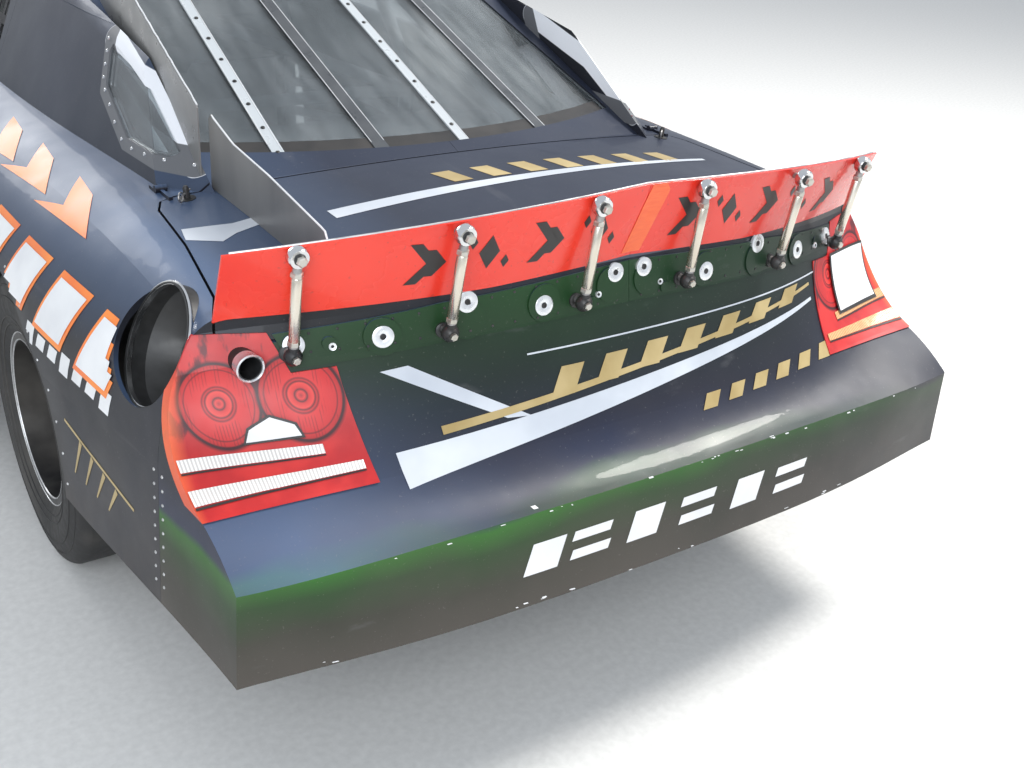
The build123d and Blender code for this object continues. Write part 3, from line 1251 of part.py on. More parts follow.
with BuildPart() as base_and_washers:
    add(spoiler_base.part)
    add(spoiler_washers.part)
with BuildPart() as strips_and_fin:
    add(window_strips.part)
    add(window_fin)
pieces = {
    "frame_rails": frame_rails.part, "roll_cage": roll_cage.part, "floor_pan": floor_pan.part,
    "nose_cover": nose_cover.part, "grille_mesh": grille_mesh.part, "tail_cover": tail_cover.part,
    "roof_panel": roof_panel.part, "tail_lamps": tail_lamps.part, "side_windows": side_windows.part,
    "window_strips": strips_and_fin.part, "fuel_fittings": fuel_fittings.part, "fuel_cell": fuel_cell.part,
    "engine": engine.part, "radiator": radiator.part, "driveline": driveline.part,
    "suspension_arms": suspension_arms.part, "exhaust_pipes": exhaust_pipes.part,
    "driver_seat": driver_seat.part,
    "dash_panel": dash_panel.part, "window_net": window_net.part, "spoiler_blade": spoiler_blade,
    "spoiler_base": base_and_washers.part, "spoiler_struts": spoiler_struts.part, "deck_fin": deck_fin,
    "steering_link": steering_link.part, "steering_wheel": steering_wheel.part,
}
pieces.update(side_panels)
pieces.update(glass_parts)
pieces.update(hinged)
pieces.update(fixed_side)
for side_name, side in (("left", 1), ("right", -1)):
    pieces[f"{side_name}_upright"] = upright_part(side)
    for end_name, axle_y in (("front", FRONT_AXLE_Y), ("rear", REAR_AXLE_Y)):
        pieces[f"{end_name}_{side_name}_rim"] = rim_part(side, axle_y)
        pieces[f"{end_name}_{side_name}_tyre"] = tyre_part(side, axle_y)
for name, solid in pieces.items():
    exported(solid, name)
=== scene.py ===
"""Looks of the stock car: paint, glass, lamps, livery, fittings and cabin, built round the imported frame."""

import bmesh
import bpy
import random
from itertools import product
from math import ceil, cos, pi, radians, sin, sqrt, tau
from mathutils import Matrix, Vector
from mathutils.bvhtree import BVHTree


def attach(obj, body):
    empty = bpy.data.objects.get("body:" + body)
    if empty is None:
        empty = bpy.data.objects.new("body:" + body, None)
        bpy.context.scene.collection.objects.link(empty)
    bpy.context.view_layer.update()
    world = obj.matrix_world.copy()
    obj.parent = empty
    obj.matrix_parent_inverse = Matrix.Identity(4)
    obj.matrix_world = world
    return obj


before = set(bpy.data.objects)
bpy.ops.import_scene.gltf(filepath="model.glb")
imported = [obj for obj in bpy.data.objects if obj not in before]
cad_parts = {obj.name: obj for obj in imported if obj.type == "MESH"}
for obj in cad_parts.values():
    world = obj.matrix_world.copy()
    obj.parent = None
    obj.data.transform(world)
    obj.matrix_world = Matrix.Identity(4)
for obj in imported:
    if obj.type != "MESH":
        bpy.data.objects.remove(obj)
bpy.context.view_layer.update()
dice = random.Random(36)

# Photograph's camera, in metres and degrees in the car's frame
CAMERA_AT = (1.4264, 3.9263, 1.7277)
CAMERA_YAW = -36.1
CAMERA_PITCH = 26.56
CAMERA_ROLL = 3.98
FOCAL_PIXELS = 1193.88
PICTURE_WIDTH = 1024
SENSOR_WIDTH = 36.0

# Places repeated from the part, in metres
AXLES = {"front": -1.453, "rear": 1.341}
WHEEL_X = 0.768
AXLE_Z = 0.35
FILLER_AT = Vector((0.828, 2.060, 0.825))
FILLER_OUT = Vector((cos(radians(25)), 0, sin(radians(25))))
VENT_AT = Vector((0.735, 2.235, 0.838))
# Radii of a seam's rivets and of their row round a wheel arch
SEAM_RIVET = 0.0035
ARCH_ROW = 0.412
# Height at which a clip goes through its pin, and half the floor's width
PIN_HOLE_HEIGHT = 0.013
FLOOR_REACH = 14.0
UP = (0, 0, 1)
# Bright washers on the spoiler's base. Columns: x; z; radius
WASHERS = [
    (0.035, 0.921, 0.0185), (0.200, 0.885, 0.0190), (0.356, 0.914, 0.0195), (0.510, 0.868, 0.0195),
    (0.655, 0.862, 0.0190), (0.594, 0.857, 0.0070), (0.076, 0.885, 0.0060),
]
# Spoiler's struts on the left. Columns: foot x, y, z; head x, y, z
STRUTS = [
    (0.666, 2.258, 0.852, 0.668, 2.288, 1.040), (0.403, 2.330, 0.872, 0.401, 2.362, 1.062),
    (0.128, 2.352, 0.886, 0.125, 2.374, 1.078),
]


# Materials

class Finish:
    """One procedural material, built from the piece's own coordinates."""

    def __init__(self, name):
        self.material = bpy.data.materials.new(name)
        self.material.use_nodes = True
        self.tree = self.material.node_tree
        self.shader = self.tree.nodes["Principled BSDF"]
        self.place = self.node("TexCoord").outputs["Object"]

    def node(self, kind, **settings):
        made = self.tree.nodes.new("ShaderNode" + kind)
        for key, value in settings.items():
            setattr(made, key, value)
        return made

    def feed(self, socket, value):
        if isinstance(value, bpy.types.NodeSocket):
            self.tree.links.new(value, socket)
        elif isinstance(value, tuple) and len(value) == 3 and socket.type == "RGBA":
            socket.default_value = (*value, 1)
        else:
            socket.default_value = value

    def axes(self):
        return self.split(self.place)

    def split(self, vector):
        made = self.node("SeparateXYZ")
        self.feed(made.inputs[0], vector)
        return made.outputs

    def up(self):
        return self.split(self.node("NewGeometry").outputs["Normal"])[2]

    def noise(self, scale, detail=3.0, stretch=None):
        made = self.node("TexNoise")
        place = self.place
        if stretch:
            mapping = self.node("Mapping")
            self.feed(mapping.inputs["Vector"], place)
            self.feed(mapping.inputs["Scale"], stretch)
            place = mapping.outputs[0]
        self.feed(made.inputs["Vector"], place)
        self.feed(made.inputs["Scale"], scale)
        self.feed(made.inputs["Detail"], detail)
        return made.outputs[0]

    def span(self, value, low, high, start=0.0, end=1.0):
        made = self.node("MapRange")
        for socket, item in zip(made.inputs, (value, low, high, start, end)):
            self.feed(socket, item)
        return made.outputs[0]

    def maths(self, operation, first, second=0.0):
        made = self.node("Math", operation=operation)
        self.feed(made.inputs[0], first)
        self.feed(made.inputs[1], second)
        return made.outputs[0]

    def grade(self, texture, low, high):
        """Spreads the middle of a noise from low to high."""
        return self.span(texture, 0.3, 0.7, low, high)

    def wave(self, value, pitch):
        return self.maths("SINE", self.maths("MULTIPLY", value, tau / pitch))

    def distance(self, first, second):
        """Length of the line that goes this far along two axes."""
        squares = [self.maths("MULTIPLY", part, part) for part in (first, second)]
        return self.maths("SQRT", self.maths("ADD", *squares))

    def mix(self, factor, first, second):
        made = self.node("Mix", data_type="RGBA")
        self.feed(made.inputs[0], factor)
        self.feed(made.inputs[6], first)
        self.feed(made.inputs[7], second)
        return made.outputs[2]

    def ramp(self, factor, stops, hold="LINEAR"):
        made = self.node("ValToRGB")
        made.color_ramp.interpolation = hold
        self.feed(made.inputs[0], factor)
        for index, (place, colour) in enumerate(stops):
            stop = made.color_ramp.elements[index] if index < 2 else made.color_ramp.elements.new(place)
            stop.position = place
            stop.color = (*colour, 1)
        return made.outputs[0]

    def bump(self, height, depth, strength=0.5):
        made = self.node("Bump")
        self.feed(made.inputs["Strength"], strength)
        self.feed(made.inputs["Distance"], depth)
        self.feed(made.inputs["Height"], height)
        self.feed(self.shader.inputs["Normal"], made.outputs[0])

    def done(self, colour, rough, metallic=0.0, coat=0.0):
        self.feed(self.shader.inputs["Base Color"], colour)
        self.feed(self.shader.inputs["Roughness"], rough)
        self.feed(self.shader.inputs["Metallic"], metallic)
        self.feed(self.shader.inputs["Coat Weight"], coat)
        return self.material


DUST = (0.27, 0.245, 0.21)
# Columns: base colour; second colour; metallic; roughness from, to; grain; stretch; bump depth; dust
FINISHES = {
    "frame_paint": ((0.060, 0.062, 0.066), (0.10, 0.10, 0.105), 0.0, 0.45, 0.70, 26, None, 0.0006, 0.45),
    "cage_paint": ((0.40, 0.44, 0.48), (0.52, 0.55, 0.58), 0.0, 0.30, 0.50, 14, None, 0.0002, 0.18),
    "tin": ((0.33, 0.335, 0.34), (0.46, 0.46, 0.455), 0.7, 0.35, 0.60, 9, (1, 6, 1), 0.0006, 0.30),
    "black_metal": ((0.014, 0.015, 0.016), (0.030, 0.031, 0.033), 0.2, 0.35, 0.55, 30, None, 0.0003, 0.12),
    "bare_aluminium": ((0.52, 0.53, 0.54), (0.70, 0.70, 0.70), 0.9, 0.28, 0.50, 18, (1, 1, 8), 0.0002, 0.10),
    "cast_iron": ((0.10, 0.10, 0.105), (0.17, 0.165, 0.16), 0.6, 0.55, 0.75, 60, None, 0.0012, 0.30),
    "steel": ((0.30, 0.30, 0.31), (0.42, 0.41, 0.40), 0.8, 0.32, 0.55, 24, None, 0.0004, 0.28),
    "rim_paint": ((0.018, 0.018, 0.020), (0.035, 0.034, 0.033), 0.1, 0.30, 0.50, 22, None, 0.0003, 0.30),
    "chrome": ((0.74, 0.75, 0.76), (0.62, 0.63, 0.65), 1.0, 0.08, 0.20, 20, None, 0.00005, 0.03),
    "champagne": ((0.66, 0.60, 0.50), (0.78, 0.74, 0.66), 0.9, 0.16, 0.30, 30, (1, 1, 0.2), 0.00005, 0.04),
    "nut_zinc": ((0.50, 0.48, 0.42), (0.62, 0.60, 0.56), 0.9, 0.25, 0.45, 60, None, 0.0001, 0.10),
    "black_rubber": ((0.016, 0.016, 0.017), (0.034, 0.033, 0.032), 0.0, 0.60, 0.85, 40, None, 0.0004, 0.20),
    "pad_cloth": ((0.020, 0.021, 0.024), (0.038, 0.039, 0.043), 0.0, 0.80, 0.95, 220, None, 0.0008, 0.10),
    "belt_red": ((0.36, 0.020, 0.018), (0.46, 0.035, 0.028), 0.0, 0.65, 0.85, 160, (4, 1, 1), 0.0004, 0.08),
    "engine_red": ((0.38, 0.035, 0.025), (0.46, 0.055, 0.035), 0.1, 0.35, 0.50, 50, None, 0.0004, 0.15),
    "gauge_face": ((0.70, 0.70, 0.66), (0.78, 0.78, 0.75), 0.0, 0.35, 0.45, 80, None, 0.0001, 0.05),
    "dash_black": ((0.016, 0.017, 0.018), (0.028, 0.028, 0.030), 0.0, 0.55, 0.75, 90, None, 0.0006, 0.14),
    "disc_iron": ((0.34, 0.33, 0.32), (0.44, 0.42, 0.40), 0.9, 0.30, 0.45, 12, None, 0.0002, 0.12),
    "spring_paint": ((0.42, 0.055, 0.03), (0.52, 0.09, 0.05), 0.0, 0.35, 0.55, 40, None, 0.0003, 0.25),
    "decal_white": ((0.78, 0.79, 0.80), (0.66, 0.67, 0.69), 0.0, 0.30, 0.48, 7, None, 0.0001, 0.10),
    "decal_silver": ((0.50, 0.54, 0.60), (0.64, 0.68, 0.73), 0.15, 0.28, 0.45, 5, None, 0.0001, 0.06),
    "decal_gold": ((0.42, 0.31, 0.13), (0.56, 0.44, 0.22), 0.35, 0.28, 0.42, 9, None, 0.0001, 0.06),
    "decal_black": ((0.012, 0.012, 0.013), (0.024, 0.022, 0.022), 0.0, 0.30, 0.45, 12, None, 0.0001, 0.06),
    "decal_orange": ((0.82, 0.17, 0.025), (0.90, 0.27, 0.04), 0.0, 0.28, 0.45, 8, None, 0.0001, 0.08),
    "decal_yellow": ((0.92, 0.55, 0.08), (0.95, 0.66, 0.16), 0.0, 0.28, 0.45, 8, None, 0.0001, 0.08),
    "tape_orange": ((0.80, 0.115, 0.035), (0.86, 0.16, 0.055), 0.0, 0.35, 0.50, 45, (1, 1, 4), 0.0004, 0.05),
    # Bare fin metal, darkened with painted shade
    "shaded_fin_metal": ((0.17, 0.17, 0.168), (0.25, 0.25, 0.245), 0.55, 0.30, 0.45, 9, (1, 1, 0.3), 0.0002, 0.08),
    "border_grey": ((0.085, 0.088, 0.095), (0.13, 0.13, 0.14), 0.2, 0.40, 0.60, 20, None, 0.0002, 0.15),
    "clear_strip": ((0.66, 0.68, 0.70), (0.78, 0.79, 0.80), 0.3, 0.22, 0.38, 14, None, 0.0002, 0.08),
}


def plain_finish(name):
    base, second, metallic, low, high, grain, stretch, depth, dust = FINISHES[name]
    made = Finish(name)
    fine = made.noise(grain, 4.0, stretch)
    colour = made.mix(made.span(fine, 0.35, 0.68), base, second)
    cloud = made.span(made.noise(2.6, 4.0), 0.42, 0.78, 0.0, dust)
    colour = made.mix(cloud, colour, DUST)
    made.bump(made.noise(grain * 3, 3.0, stretch), depth, 0.45)
    return made.done(colour, made.grade(fine, low, high), metallic)


MATERIALS = {name: plain_finish(name) for name in FINISHES}


# Quarter window's outline and its painted borders. Columns: first and last corner; width; tone
PANE_OUTLINE = [(1.625, 0.998), (1.420, 1.100), (1.145, 1.165), (1.200, 1.070), (1.385, 0.998)]
PANE_MIDDLE = Vector((1.36, 1.07))
PALE, GREY = (0.74, 0.76, 0.80), (0.115, 0.120, 0.130)
PANE_BORDERS = [
    (0, 1, 0.052, PALE), (1, 2, 0.052, PALE), (2, 3, 0.050, GREY), (3, 4, 0.050, GREY), (4, 0, 0.050, GREY),
]
BORDER_BLUR = 0.0006


def stripe(made, y, z, start, end, width):
    """Mask of a painted stripe along a line seen from the side."""
    run = (end[0] - start[0], end[1] - start[1])
    square = run[0] ** 2 + run[1] ** 2
    away = [made.maths("SUBTRACT", axis, value) for axis, value in zip((y, z), start)]
    shares = [made.maths("MULTIPLY", axis, part / square) for axis, part in zip(away, run)]
    along = made.span(made.maths("ADD", *shares), 0.0, 1.0)
    left = [made.maths("SUBTRACT", axis, made.maths("MULTIPLY", along, part)) for axis, part in zip(away, run)]
    return made.span(made.distance(*left), width / 2 + BORDER_BLUR, width / 2 - BORDER_BLUR)


def body_paint(name, reflection_bands=None, panes=False):
    """Dusty satin black, with a painted blue sky reflection where it faces up, bluest on the left shoulder, and
    brown with road dust low down.
    """
    made = Finish(name)
    x, y, z = made.axes()
    cloud = made.noise(1.3, 3.0)
    colour = made.mix(made.span(cloud, 0.35, 0.65), (0.009, 0.010, 0.013), (0.014, 0.016, 0.026))
    # Painted reflection: green, blue and brown bands by height, weaker on the car's right
    if reflection_bands:
        low, high = reflection_bands[0][0], reflection_bands[-1][0]
        shift = made.grade(made.noise(2.2), -0.02, 0.02)
        level = made.span(made.maths("ADD", z, shift), low, high)
        painted_reflection = made.ramp(level, [((place - low) / (high - low), tone) for place, tone in reflection_bands])
        colour = made.mix(made.span(x, -0.75, 0.10, 0.25, 1.0), colour, painted_reflection)
    # Painted sky reflection: bluer where the surface faces up, bluest on the left shoulder
    sky_reflection_share = made.span(made.up(), 0.30, 0.95, 0.0, 0.75)
    shoulder = made.span(x, 0.30, 0.74)
    painted_sky_blue = made.mix(made.span(cloud, 0.38, 0.62), (0.014, 0.020, 0.040), (0.024, 0.033, 0.060))
    colour = made.mix(sky_reflection_share, colour, made.mix(shoulder, painted_sky_blue, (0.075, 0.125, 0.230)))
    on_side = made.span(made.maths("ABSOLUTE", x), 0.566, 0.569)
    for first, last, width, tone in PANE_BORDERS if panes else ():
        mask = stripe(made, y, z, PANE_OUTLINE[first], PANE_OUTLINE[last], width)
        colour = made.mix(made.maths("MULTIPLY", mask, on_side), colour, tone)
    low_down = made.span(z, 0.74, 0.30, 0.0, 0.70)
    road = made.maths("MULTIPLY", low_down, made.span(made.noise(5.0, 5.0), 0.25, 0.62))
    colour = made.mix(road, colour, (0.070, 0.060, 0.052))
    specks = made.span(made.noise(210, 1.0), 0.70, 0.78, 0.0, 0.14)
    colour = made.mix(specks, colour, (0.30, 0.28, 0.26))
    scuffs = made.span(made.noise(9.0, 6.0, (1.0, 0.12, 3.0)), 0.66, 0.76, 0.0, 0.14)
    colour = made.mix(scuffs, colour, (0.20, 0.20, 0.21))
    made.bump(made.noise(3.5, 2.0), 0.004, 0.12)
    made.feed(made.shader.inputs["Specular IOR Level"], 0.32)
    return made.done(colour, made.grade(made.noise(6.0, 5.0), 0.36, 0.52), 0.0, 0.10)


# Painted reflection on the tail cover and base plates: coloured bands by height. Columns: height; colour
TAIL_REFLECTION_BANDS = [
    (0.38, (0.052, 0.046, 0.038)), (0.46, (0.030, 0.032, 0.022)), (0.53, (0.012, 0.050, 0.010)),
    (0.572, (0.022, 0.135, 0.012)), (0.588, (0.016, 0.024, 0.062)), (0.66, (0.010, 0.012, 0.024)),
    (0.76, (0.010, 0.018, 0.014)), (0.90, (0.010, 0.036, 0.012)),
]
PLATE_REFLECTION_BANDS = [(0.82, (0.010, 0.030, 0.012)), (0.95, (0.010, 0.050, 0.012))]


def red_paint():
    made = Finish("spoiler_red")
    cloud = made.noise(2.0, 3.0)
    colour = made.mix(made.span(cloud, 0.35, 0.65), (0.66, 0.020, 0.012), (0.78, 0.042, 0.022))
    sheen = made.span(made.noise(1.1, 1.0, (1, 1, 3)), 0.45, 0.7, 0.0, 0.35)
    colour = made.mix(sheen, colour, (0.86, 0.10, 0.06))
    specks = made.span(made.noise(120, 1.0), 0.70, 0.76, 0.0, 0.4)
    colour = made.mix(specks, colour, (0.30, 0.05, 0.04))
    made.bump(made.noise(30.0, 2.0), 0.0003, 0.3)
    return made.done(colour, made.grade(made.noise(12.0), 0.20, 0.36), 0.0, 0.3)


# Round lenses on each lamp panel. Columns: x; z; radius
LENSES = [(0.784, 0.773, 0.062), (0.655, 0.779, 0.066)]
LENS_RIB_PITCH = 0.0052
# Rings of a lens. Columns: share of its radius; colour
LENS_RINGS = [
    (0.00, (0.30, 0.012, 0.016)), (0.09, (0.62, 0.030, 0.026)), (0.15, (0.07, 0.004, 0.008)),
    (0.19, (0.52, 0.018, 0.018)), (0.30, (0.66, 0.040, 0.032)), (0.34, (0.10, 0.004, 0.008)),
    (0.38, (0.50, 0.016, 0.018)), (0.42, (0.16, 0.006, 0.010)), (0.46, (0.58, 0.022, 0.022)),
    (0.84, (0.50, 0.016, 0.018)), (0.87, (0.16, 0.006, 0.010)), (0.90, (0.46, 0.014, 0.016)),
    (0.97, (0.40, 0.012, 0.014)), (1.00, (0.05, 0.003, 0.006)),
]


def lamp_print():
    """Printed lamp panel: red, with ringed lenses in a dark field, and a painted orange glow where it wraps to
    the side.
    """
    made = Finish("lamp_print")
    x, _, z = made.axes()
    side = made.maths("ABSOLUTE", x)
    colour = made.mix(made.span(made.noise(14.0), 0.35, 0.65), (0.40, 0.013, 0.016), (0.56, 0.026, 0.024))
    strokes = made.span(made.noise(26.0, 5.0, (1.6, 1.0, 0.35)), 0.53, 0.60, 0.0, 0.85)
    above = made.maths("MULTIPLY", made.span(z, 0.715, 0.735), strokes)
    colour = made.mix(above, colour, (0.050, 0.006, 0.012))
    for lens_x, lens_z, radius in LENSES:
        across = made.maths("SUBTRACT", side, lens_x)
        rise = made.maths("SUBTRACT", z, lens_z)
        share = made.maths("DIVIDE", made.distance(across, rise), radius)
        print_tone = made.ramp(share, LENS_RINGS)
        ribs = made.span(made.wave(side, LENS_RIB_PITCH), 0.1, 1.0, 0.0, 0.55)
        ribbed_zone = made.maths("MULTIPLY", made.span(share, 0.48, 0.54), ribs)
        patches = made.span(made.noise(20.0, 3.0, (3.0, 1.0, 0.5)), 0.46, 0.56)
        print_tone = made.mix(made.maths("MULTIPLY", ribbed_zone, patches), print_tone, (0.13, 0.006, 0.010))
        halo = made.span(share, 1.12, 1.04)
        colour = made.mix(halo, colour, (0.040, 0.004, 0.008))
        colour = made.mix(made.span(share, 1.015, 1.0), colour, print_tone)
    # Painted glow: bright orange along the edge that wraps to the side
    painted_edge_glow = made.span(made.maths("ADD", side, made.span(z, 0.64, 0.86, 0.0, 0.035)), 0.862, 0.90)
    colour = made.mix(painted_edge_glow, colour, (0.86, 0.17, 0.05))
    made.bump(made.noise(40.0), 0.0002, 0.2)
    return made.done(colour, made.grade(made.noise(20.0), 0.30, 0.44))


def ribbed(name, light, dark, pitch=0.006):
    """Printed reflector bar: close upright ribs."""
    made = Finish(name)
    wave = made.wave(made.axes()[0], pitch)
    colour = made.mix(made.span(wave, -0.6, 0.8), dark, light)
    colour = made.mix(made.span(made.noise(25.0), 0.55, 0.75, 0.0, 0.4), colour, dark)
    made.bump(wave, 0.0006, 0.5)
    return made.done(colour, made.grade(made.noise(30.0), 0.15, 0.32))


def pane(name, tint, haze):
    """Clear sheet: light passes through, it shines at a slant and carries a thin film of dust."""
    made = Finish(name)
    cloud = made.noise(2.4, 5.0)
    streak = made.noise(30.0, 4.0, (1.0, 0.15, 0.15))
    film = made.mix(made.span(cloud, 0.4, 0.7), (0.40, 0.43, 0.46), (0.52, 0.54, 0.55))
    made.done(film, made.grade(streak, 0.30, 0.50))
    clear, gloss = made.node("BsdfTransparent"), made.node("BsdfAnisotropic")
    made.feed(clear.inputs[0], tint)
    made.feed(gloss.inputs["Roughness"], made.grade(streak, 0.015, 0.05))
    slant = made.node("Fresnel")
    made.feed(slant.inputs["IOR"], 1.42)
    pane_mix, film_mix = made.node("MixShader"), made.node("MixShader")
    made.feed(pane_mix.inputs[0], made.span(slant.outputs[0], 0.0, 1.0, 0.0, 0.85))
    made.feed(film_mix.inputs[0], made.span(made.maths("MULTIPLY", cloud, streak), 0.14, 0.44, 0.015, haze))
    made.feed(pane_mix.inputs[1], clear.outputs[0])
    made.feed(pane_mix.inputs[2], gloss.outputs[0])
    made.feed(film_mix.inputs[1], pane_mix.outputs[0])
    made.feed(film_mix.inputs[2], made.shader.outputs[0])
    made.feed(made.tree.nodes["Material Output"].inputs["Surface"], film_mix.outputs[0])
    return made.material


def tyre_rubber():
    made = Finish("tyre_rubber")
    grain = made.noise(60.0, 5.0)
    colour = made.mix(made.span(grain, 0.3, 0.7), (0.016, 0.016, 0.017), (0.034, 0.033, 0.032))
    colour = made.mix(made.span(made.noise(6.0, 5.0), 0.45, 0.75, 0.0, 0.55), colour, (0.105, 0.097, 0.088))
    made.bump(grain, 0.0008, 0.5)
    return made.done(colour, made.grade(grain, 0.60, 0.85))


def webbing():
    made = Finish("net_webbing")
    _, y, z = made.axes()
    weave = made.wave(made.maths("ADD", y, z), 0.003)
    colour = made.mix(made.span(weave, -1.0, 1.0), (0.012, 0.012, 0.014), (0.040, 0.040, 0.044))
    made.bump(weave, 0.0005, 0.5)
    return made.done(colour, made.grade(made.noise(40.0), 0.70, 0.90))


def radiator_core():
    made = Finish("radiator_core")
    x, _, z = made.axes()
    weave = made.maths("MULTIPLY", made.wave(x, 0.006), made.wave(z, 0.020))
    colour = made.mix(made.span(weave, -0.8, 0.8), (0.05, 0.05, 0.05), (0.40, 0.40, 0.41))
    made.bump(weave, 0.002, 0.6)
    return made.done(colour, made.grade(made.noise(30.0), 0.35, 0.55), 0.8)


def turned_metal():
    made = Finish("turned_metal")
    rings = made.noise(55.0, 2.0)
    colour = made.mix(made.span(rings, 0.3, 0.7), (0.74, 0.76, 0.78), (0.86, 0.88, 0.90))
    made.bump(made.noise(900.0, 1.0), 0.00003, 0.15)
    return made.done(colour, made.grade(rings, 0.24, 0.36), 0.75)


def strip_mix():
    """Rear-glass straps, dark and clear by turns, and the bare fin on the left, darkened with painted shade."""
    made = Finish("strip_mix")
    place = made.span(made.axes()[0], -0.6, 0.6)
    grain = made.noise(16.0, 4.0)
    # The bare fin's tone is darkened with painted shade
    dark, clear, bare = (0.060, 0.066, 0.074), (0.50, 0.54, 0.57), (0.20, 0.20, 0.197)
    stops = [(0.0, dark), (0.37, clear), (0.55, dark), (0.71, clear), (0.92, bare)]
    tones = made.ramp(place, stops, "CONSTANT")
    colour = made.mix(made.span(grain, 0.35, 0.70, 0.0, 0.12), tones, (0.30, 0.31, 0.32))
    made.bump(grain, 0.0002, 0.3)
    return made.done(colour, made.grade(grain, 0.24, 0.42), 0.25)


MATERIALS.update({
    "body_paint": body_paint("body_paint"), "quarter_paint": body_paint("quarter_paint", panes=True),
    "tail_paint": body_paint("tail_paint", TAIL_REFLECTION_BANDS), "plate_paint": body_paint("plate_paint", PLATE_REFLECTION_BANDS),
    "spoiler_paint": red_paint(), "lamp_plastic": lamp_print(), "tyre": tyre_rubber(), "strip_mix": strip_mix(),
    "glass": pane("glass", (0.90, 0.95, 0.97), 0.16),
    "side_glass": pane("side_glass", (0.92, 0.95, 0.96), 0.26),
    "webbing": webbing(), "radiator_core": radiator_core(), "turned_metal": turned_metal(),
    "rib_white": ribbed("rib_white", (0.88, 0.88, 0.86), (0.56, 0.54, 0.52)),
    "rib_gold": ribbed("rib_gold", (0.80, 0.50, 0.24), (0.50, 0.22, 0.10)),
})
# CAD nodes whose finish isn't that of their material slot
NODE_FINISH = {
    "left_quarter": "quarter_paint", "right_quarter": "quarter_paint", "tail_cover": "tail_paint",
    "spoiler_base": "plate_paint", "side_windows": "side_glass", "radiator": "radiator_core",
    "deck_fin": "shaded_fin_metal", "dash_panel": "dash_black", "window_strips": "strip_mix",
}
for name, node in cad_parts.items():
    slot = node.data.materials[0].name.split(".")[0]
    node.data.materials.clear()
    node.data.materials.append(MATERIALS[NODE_FINISH.get(name, slot)])


# Shapes

def around(at, across, other, radius, sides):
    """Points of a circle."""
    return [at + (across * cos(tau * k / sides) + other * sin(tau * k / sides)) * radius for k in range(sides)]


def wall(low, high, sides):
    """Faces between two rows of points, each told by its first point's number."""
    return [(low + k, low + (k + 1) % sides, high + (k + 1) % sides, high + k) for k in range(sides)]


def caps(sides, last):
    """Faces that close the first row and the one that starts at last."""
    return [tuple(reversed(range(sides))), tuple(last + k for k in range(sides))]


def heading(route, index):
    return (route[min(index + 1, len(route) - 1)] - route[max(index - 1, 0)]).normalized()


class Shape:
    """Collects the points and faces of one piece."""

    def __init__(self):
        self.points = []
        self.faces = []

    def add(self, points, faces):
        first = len(self.points)
        self.points += [Vector(point) for point in points]
        self.faces += [tuple(first + index for index in face) for face in faces]
        return self

    def turned(self, at, axis, profile, sides=24, hollow=False):
        """Turns rows of (radius, distance along the axis) about it. Hollow: the last row joins the first."""
        at, axis = Vector(at), Vector(axis).normalized()
        across = axis.orthogonal().normalized()
        other = axis.cross(across)
        points, faces = [], []
        for radius, along in profile:
            points += around(at + axis * along, across, other, radius, sides)
        rows = len(profile)
        for row in range(rows if hollow else rows - 1):
            faces += wall(row * sides, (row + 1) % rows * sides, sides)
        if not hollow:
            faces += caps(sides, (rows - 1) * sides)
        return self.add(points, faces)

    def tube(self, route, radius, sides=10):
        """Round bar along a route."""
        route = [Vector(point) for point in route]
        points, faces = [], []
        across = (route[1] - route[0]).orthogonal().normalized()
        for index, point in enumerate(route):
            ahead = heading(route, index)
            across = (across - ahead * across.dot(ahead)).normalized()
            points += around(point, across, ahead.cross(across), radius, sides)
            if index:
                faces += wall((index - 1) * sides, index * sides, sides)
        return self.add(points, faces + caps(sides, (len(route) - 1) * sides))

    def strap(self, route, across, width, thickness):
        """Flat band along a route, its width along across."""
        route, across = [Vector(point) for point in route], Vector(across).normalized()
        points, faces = [], []
        for index, point in enumerate(route):
            ahead = heading(route, index)
            side = (across - ahead * across.dot(ahead)).normalized()
            over = ahead.cross(side)
            for wide, thick in ((-1, -1), (1, -1), (1, 1), (-1, 1)):
                points.append(point + side * wide * width / 2 + over * thick * thickness / 2)
            if index:
                faces += wall((index - 1) * 4, index * 4, 4)
        return self.add(points, faces + caps(4, (len(route) - 1) * 4))

    def block(self, centre, size, turn=None):
        """Box of that size, turned by a matrix."""
        turn = turn or Matrix.Identity(3)
        corners = [(x, y, z) for z in (-1, 1) for y in (-1, 1) for x in (-1, 1)]
        half = [length / 2 for length in size]
        points = [
            Vector(centre) + turn @ Vector(tuple(sign * reach for sign, reach in zip(corner, half)))
            for corner in corners
        ]
        self.add(points, [(0, 2, 3, 1), (4, 5, 7, 6), (0, 1, 5, 4), (2, 6, 7, 3), (0, 4, 6, 2), (1, 3, 7, 5)])

    def hex(self, at, axis, width, height):
        """Bolt head with a bevelled top."""
        radius = width / 2 / cos(pi / 6)
        self.turned(at, axis, [(radius, 0), (radius, height * 0.8), (radius * 0.8, height)], 6)

    def rivet(self, at, axis, radius):
        profile = [(radius, -0.0005), (radius * 0.85, radius * 0.35), (radius * 0.4, radius * 0.6)]
        self.turned(at, axis, profile, 8)

    def piece(self, name, finish, body="root", bevel=0.0, solid=0.0, smooth=35):
        mesh = bpy.data.meshes.new(name)
        mesh.from_pydata(self.points, [], self.faces)
        mesh.validate()
        mesh.shade_smooth()
        mesh.set_sharp_from_angle(angle=radians(smooth))
        mesh.materials.append(MATERIALS[finish])
        holder = bpy.data.objects.new(name, mesh)
        bpy.context.scene.collection.objects.link(holder)
        if solid:
            edge = holder.modifiers.new("edge", "SOLIDIFY")
            edge.thickness = solid
            edge.offset = -1
            split = holder.modifiers.new("split", "EDGE_SPLIT")
            split.split_angle = radians(smooth)
        if bevel:
            edge = holder.modifiers.new("bevel", "BEVEL")
            edge.width = bevel
            edge.segments = 2
            edge.limit_method = "ANGLE"
        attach(holder, body)
        return holder


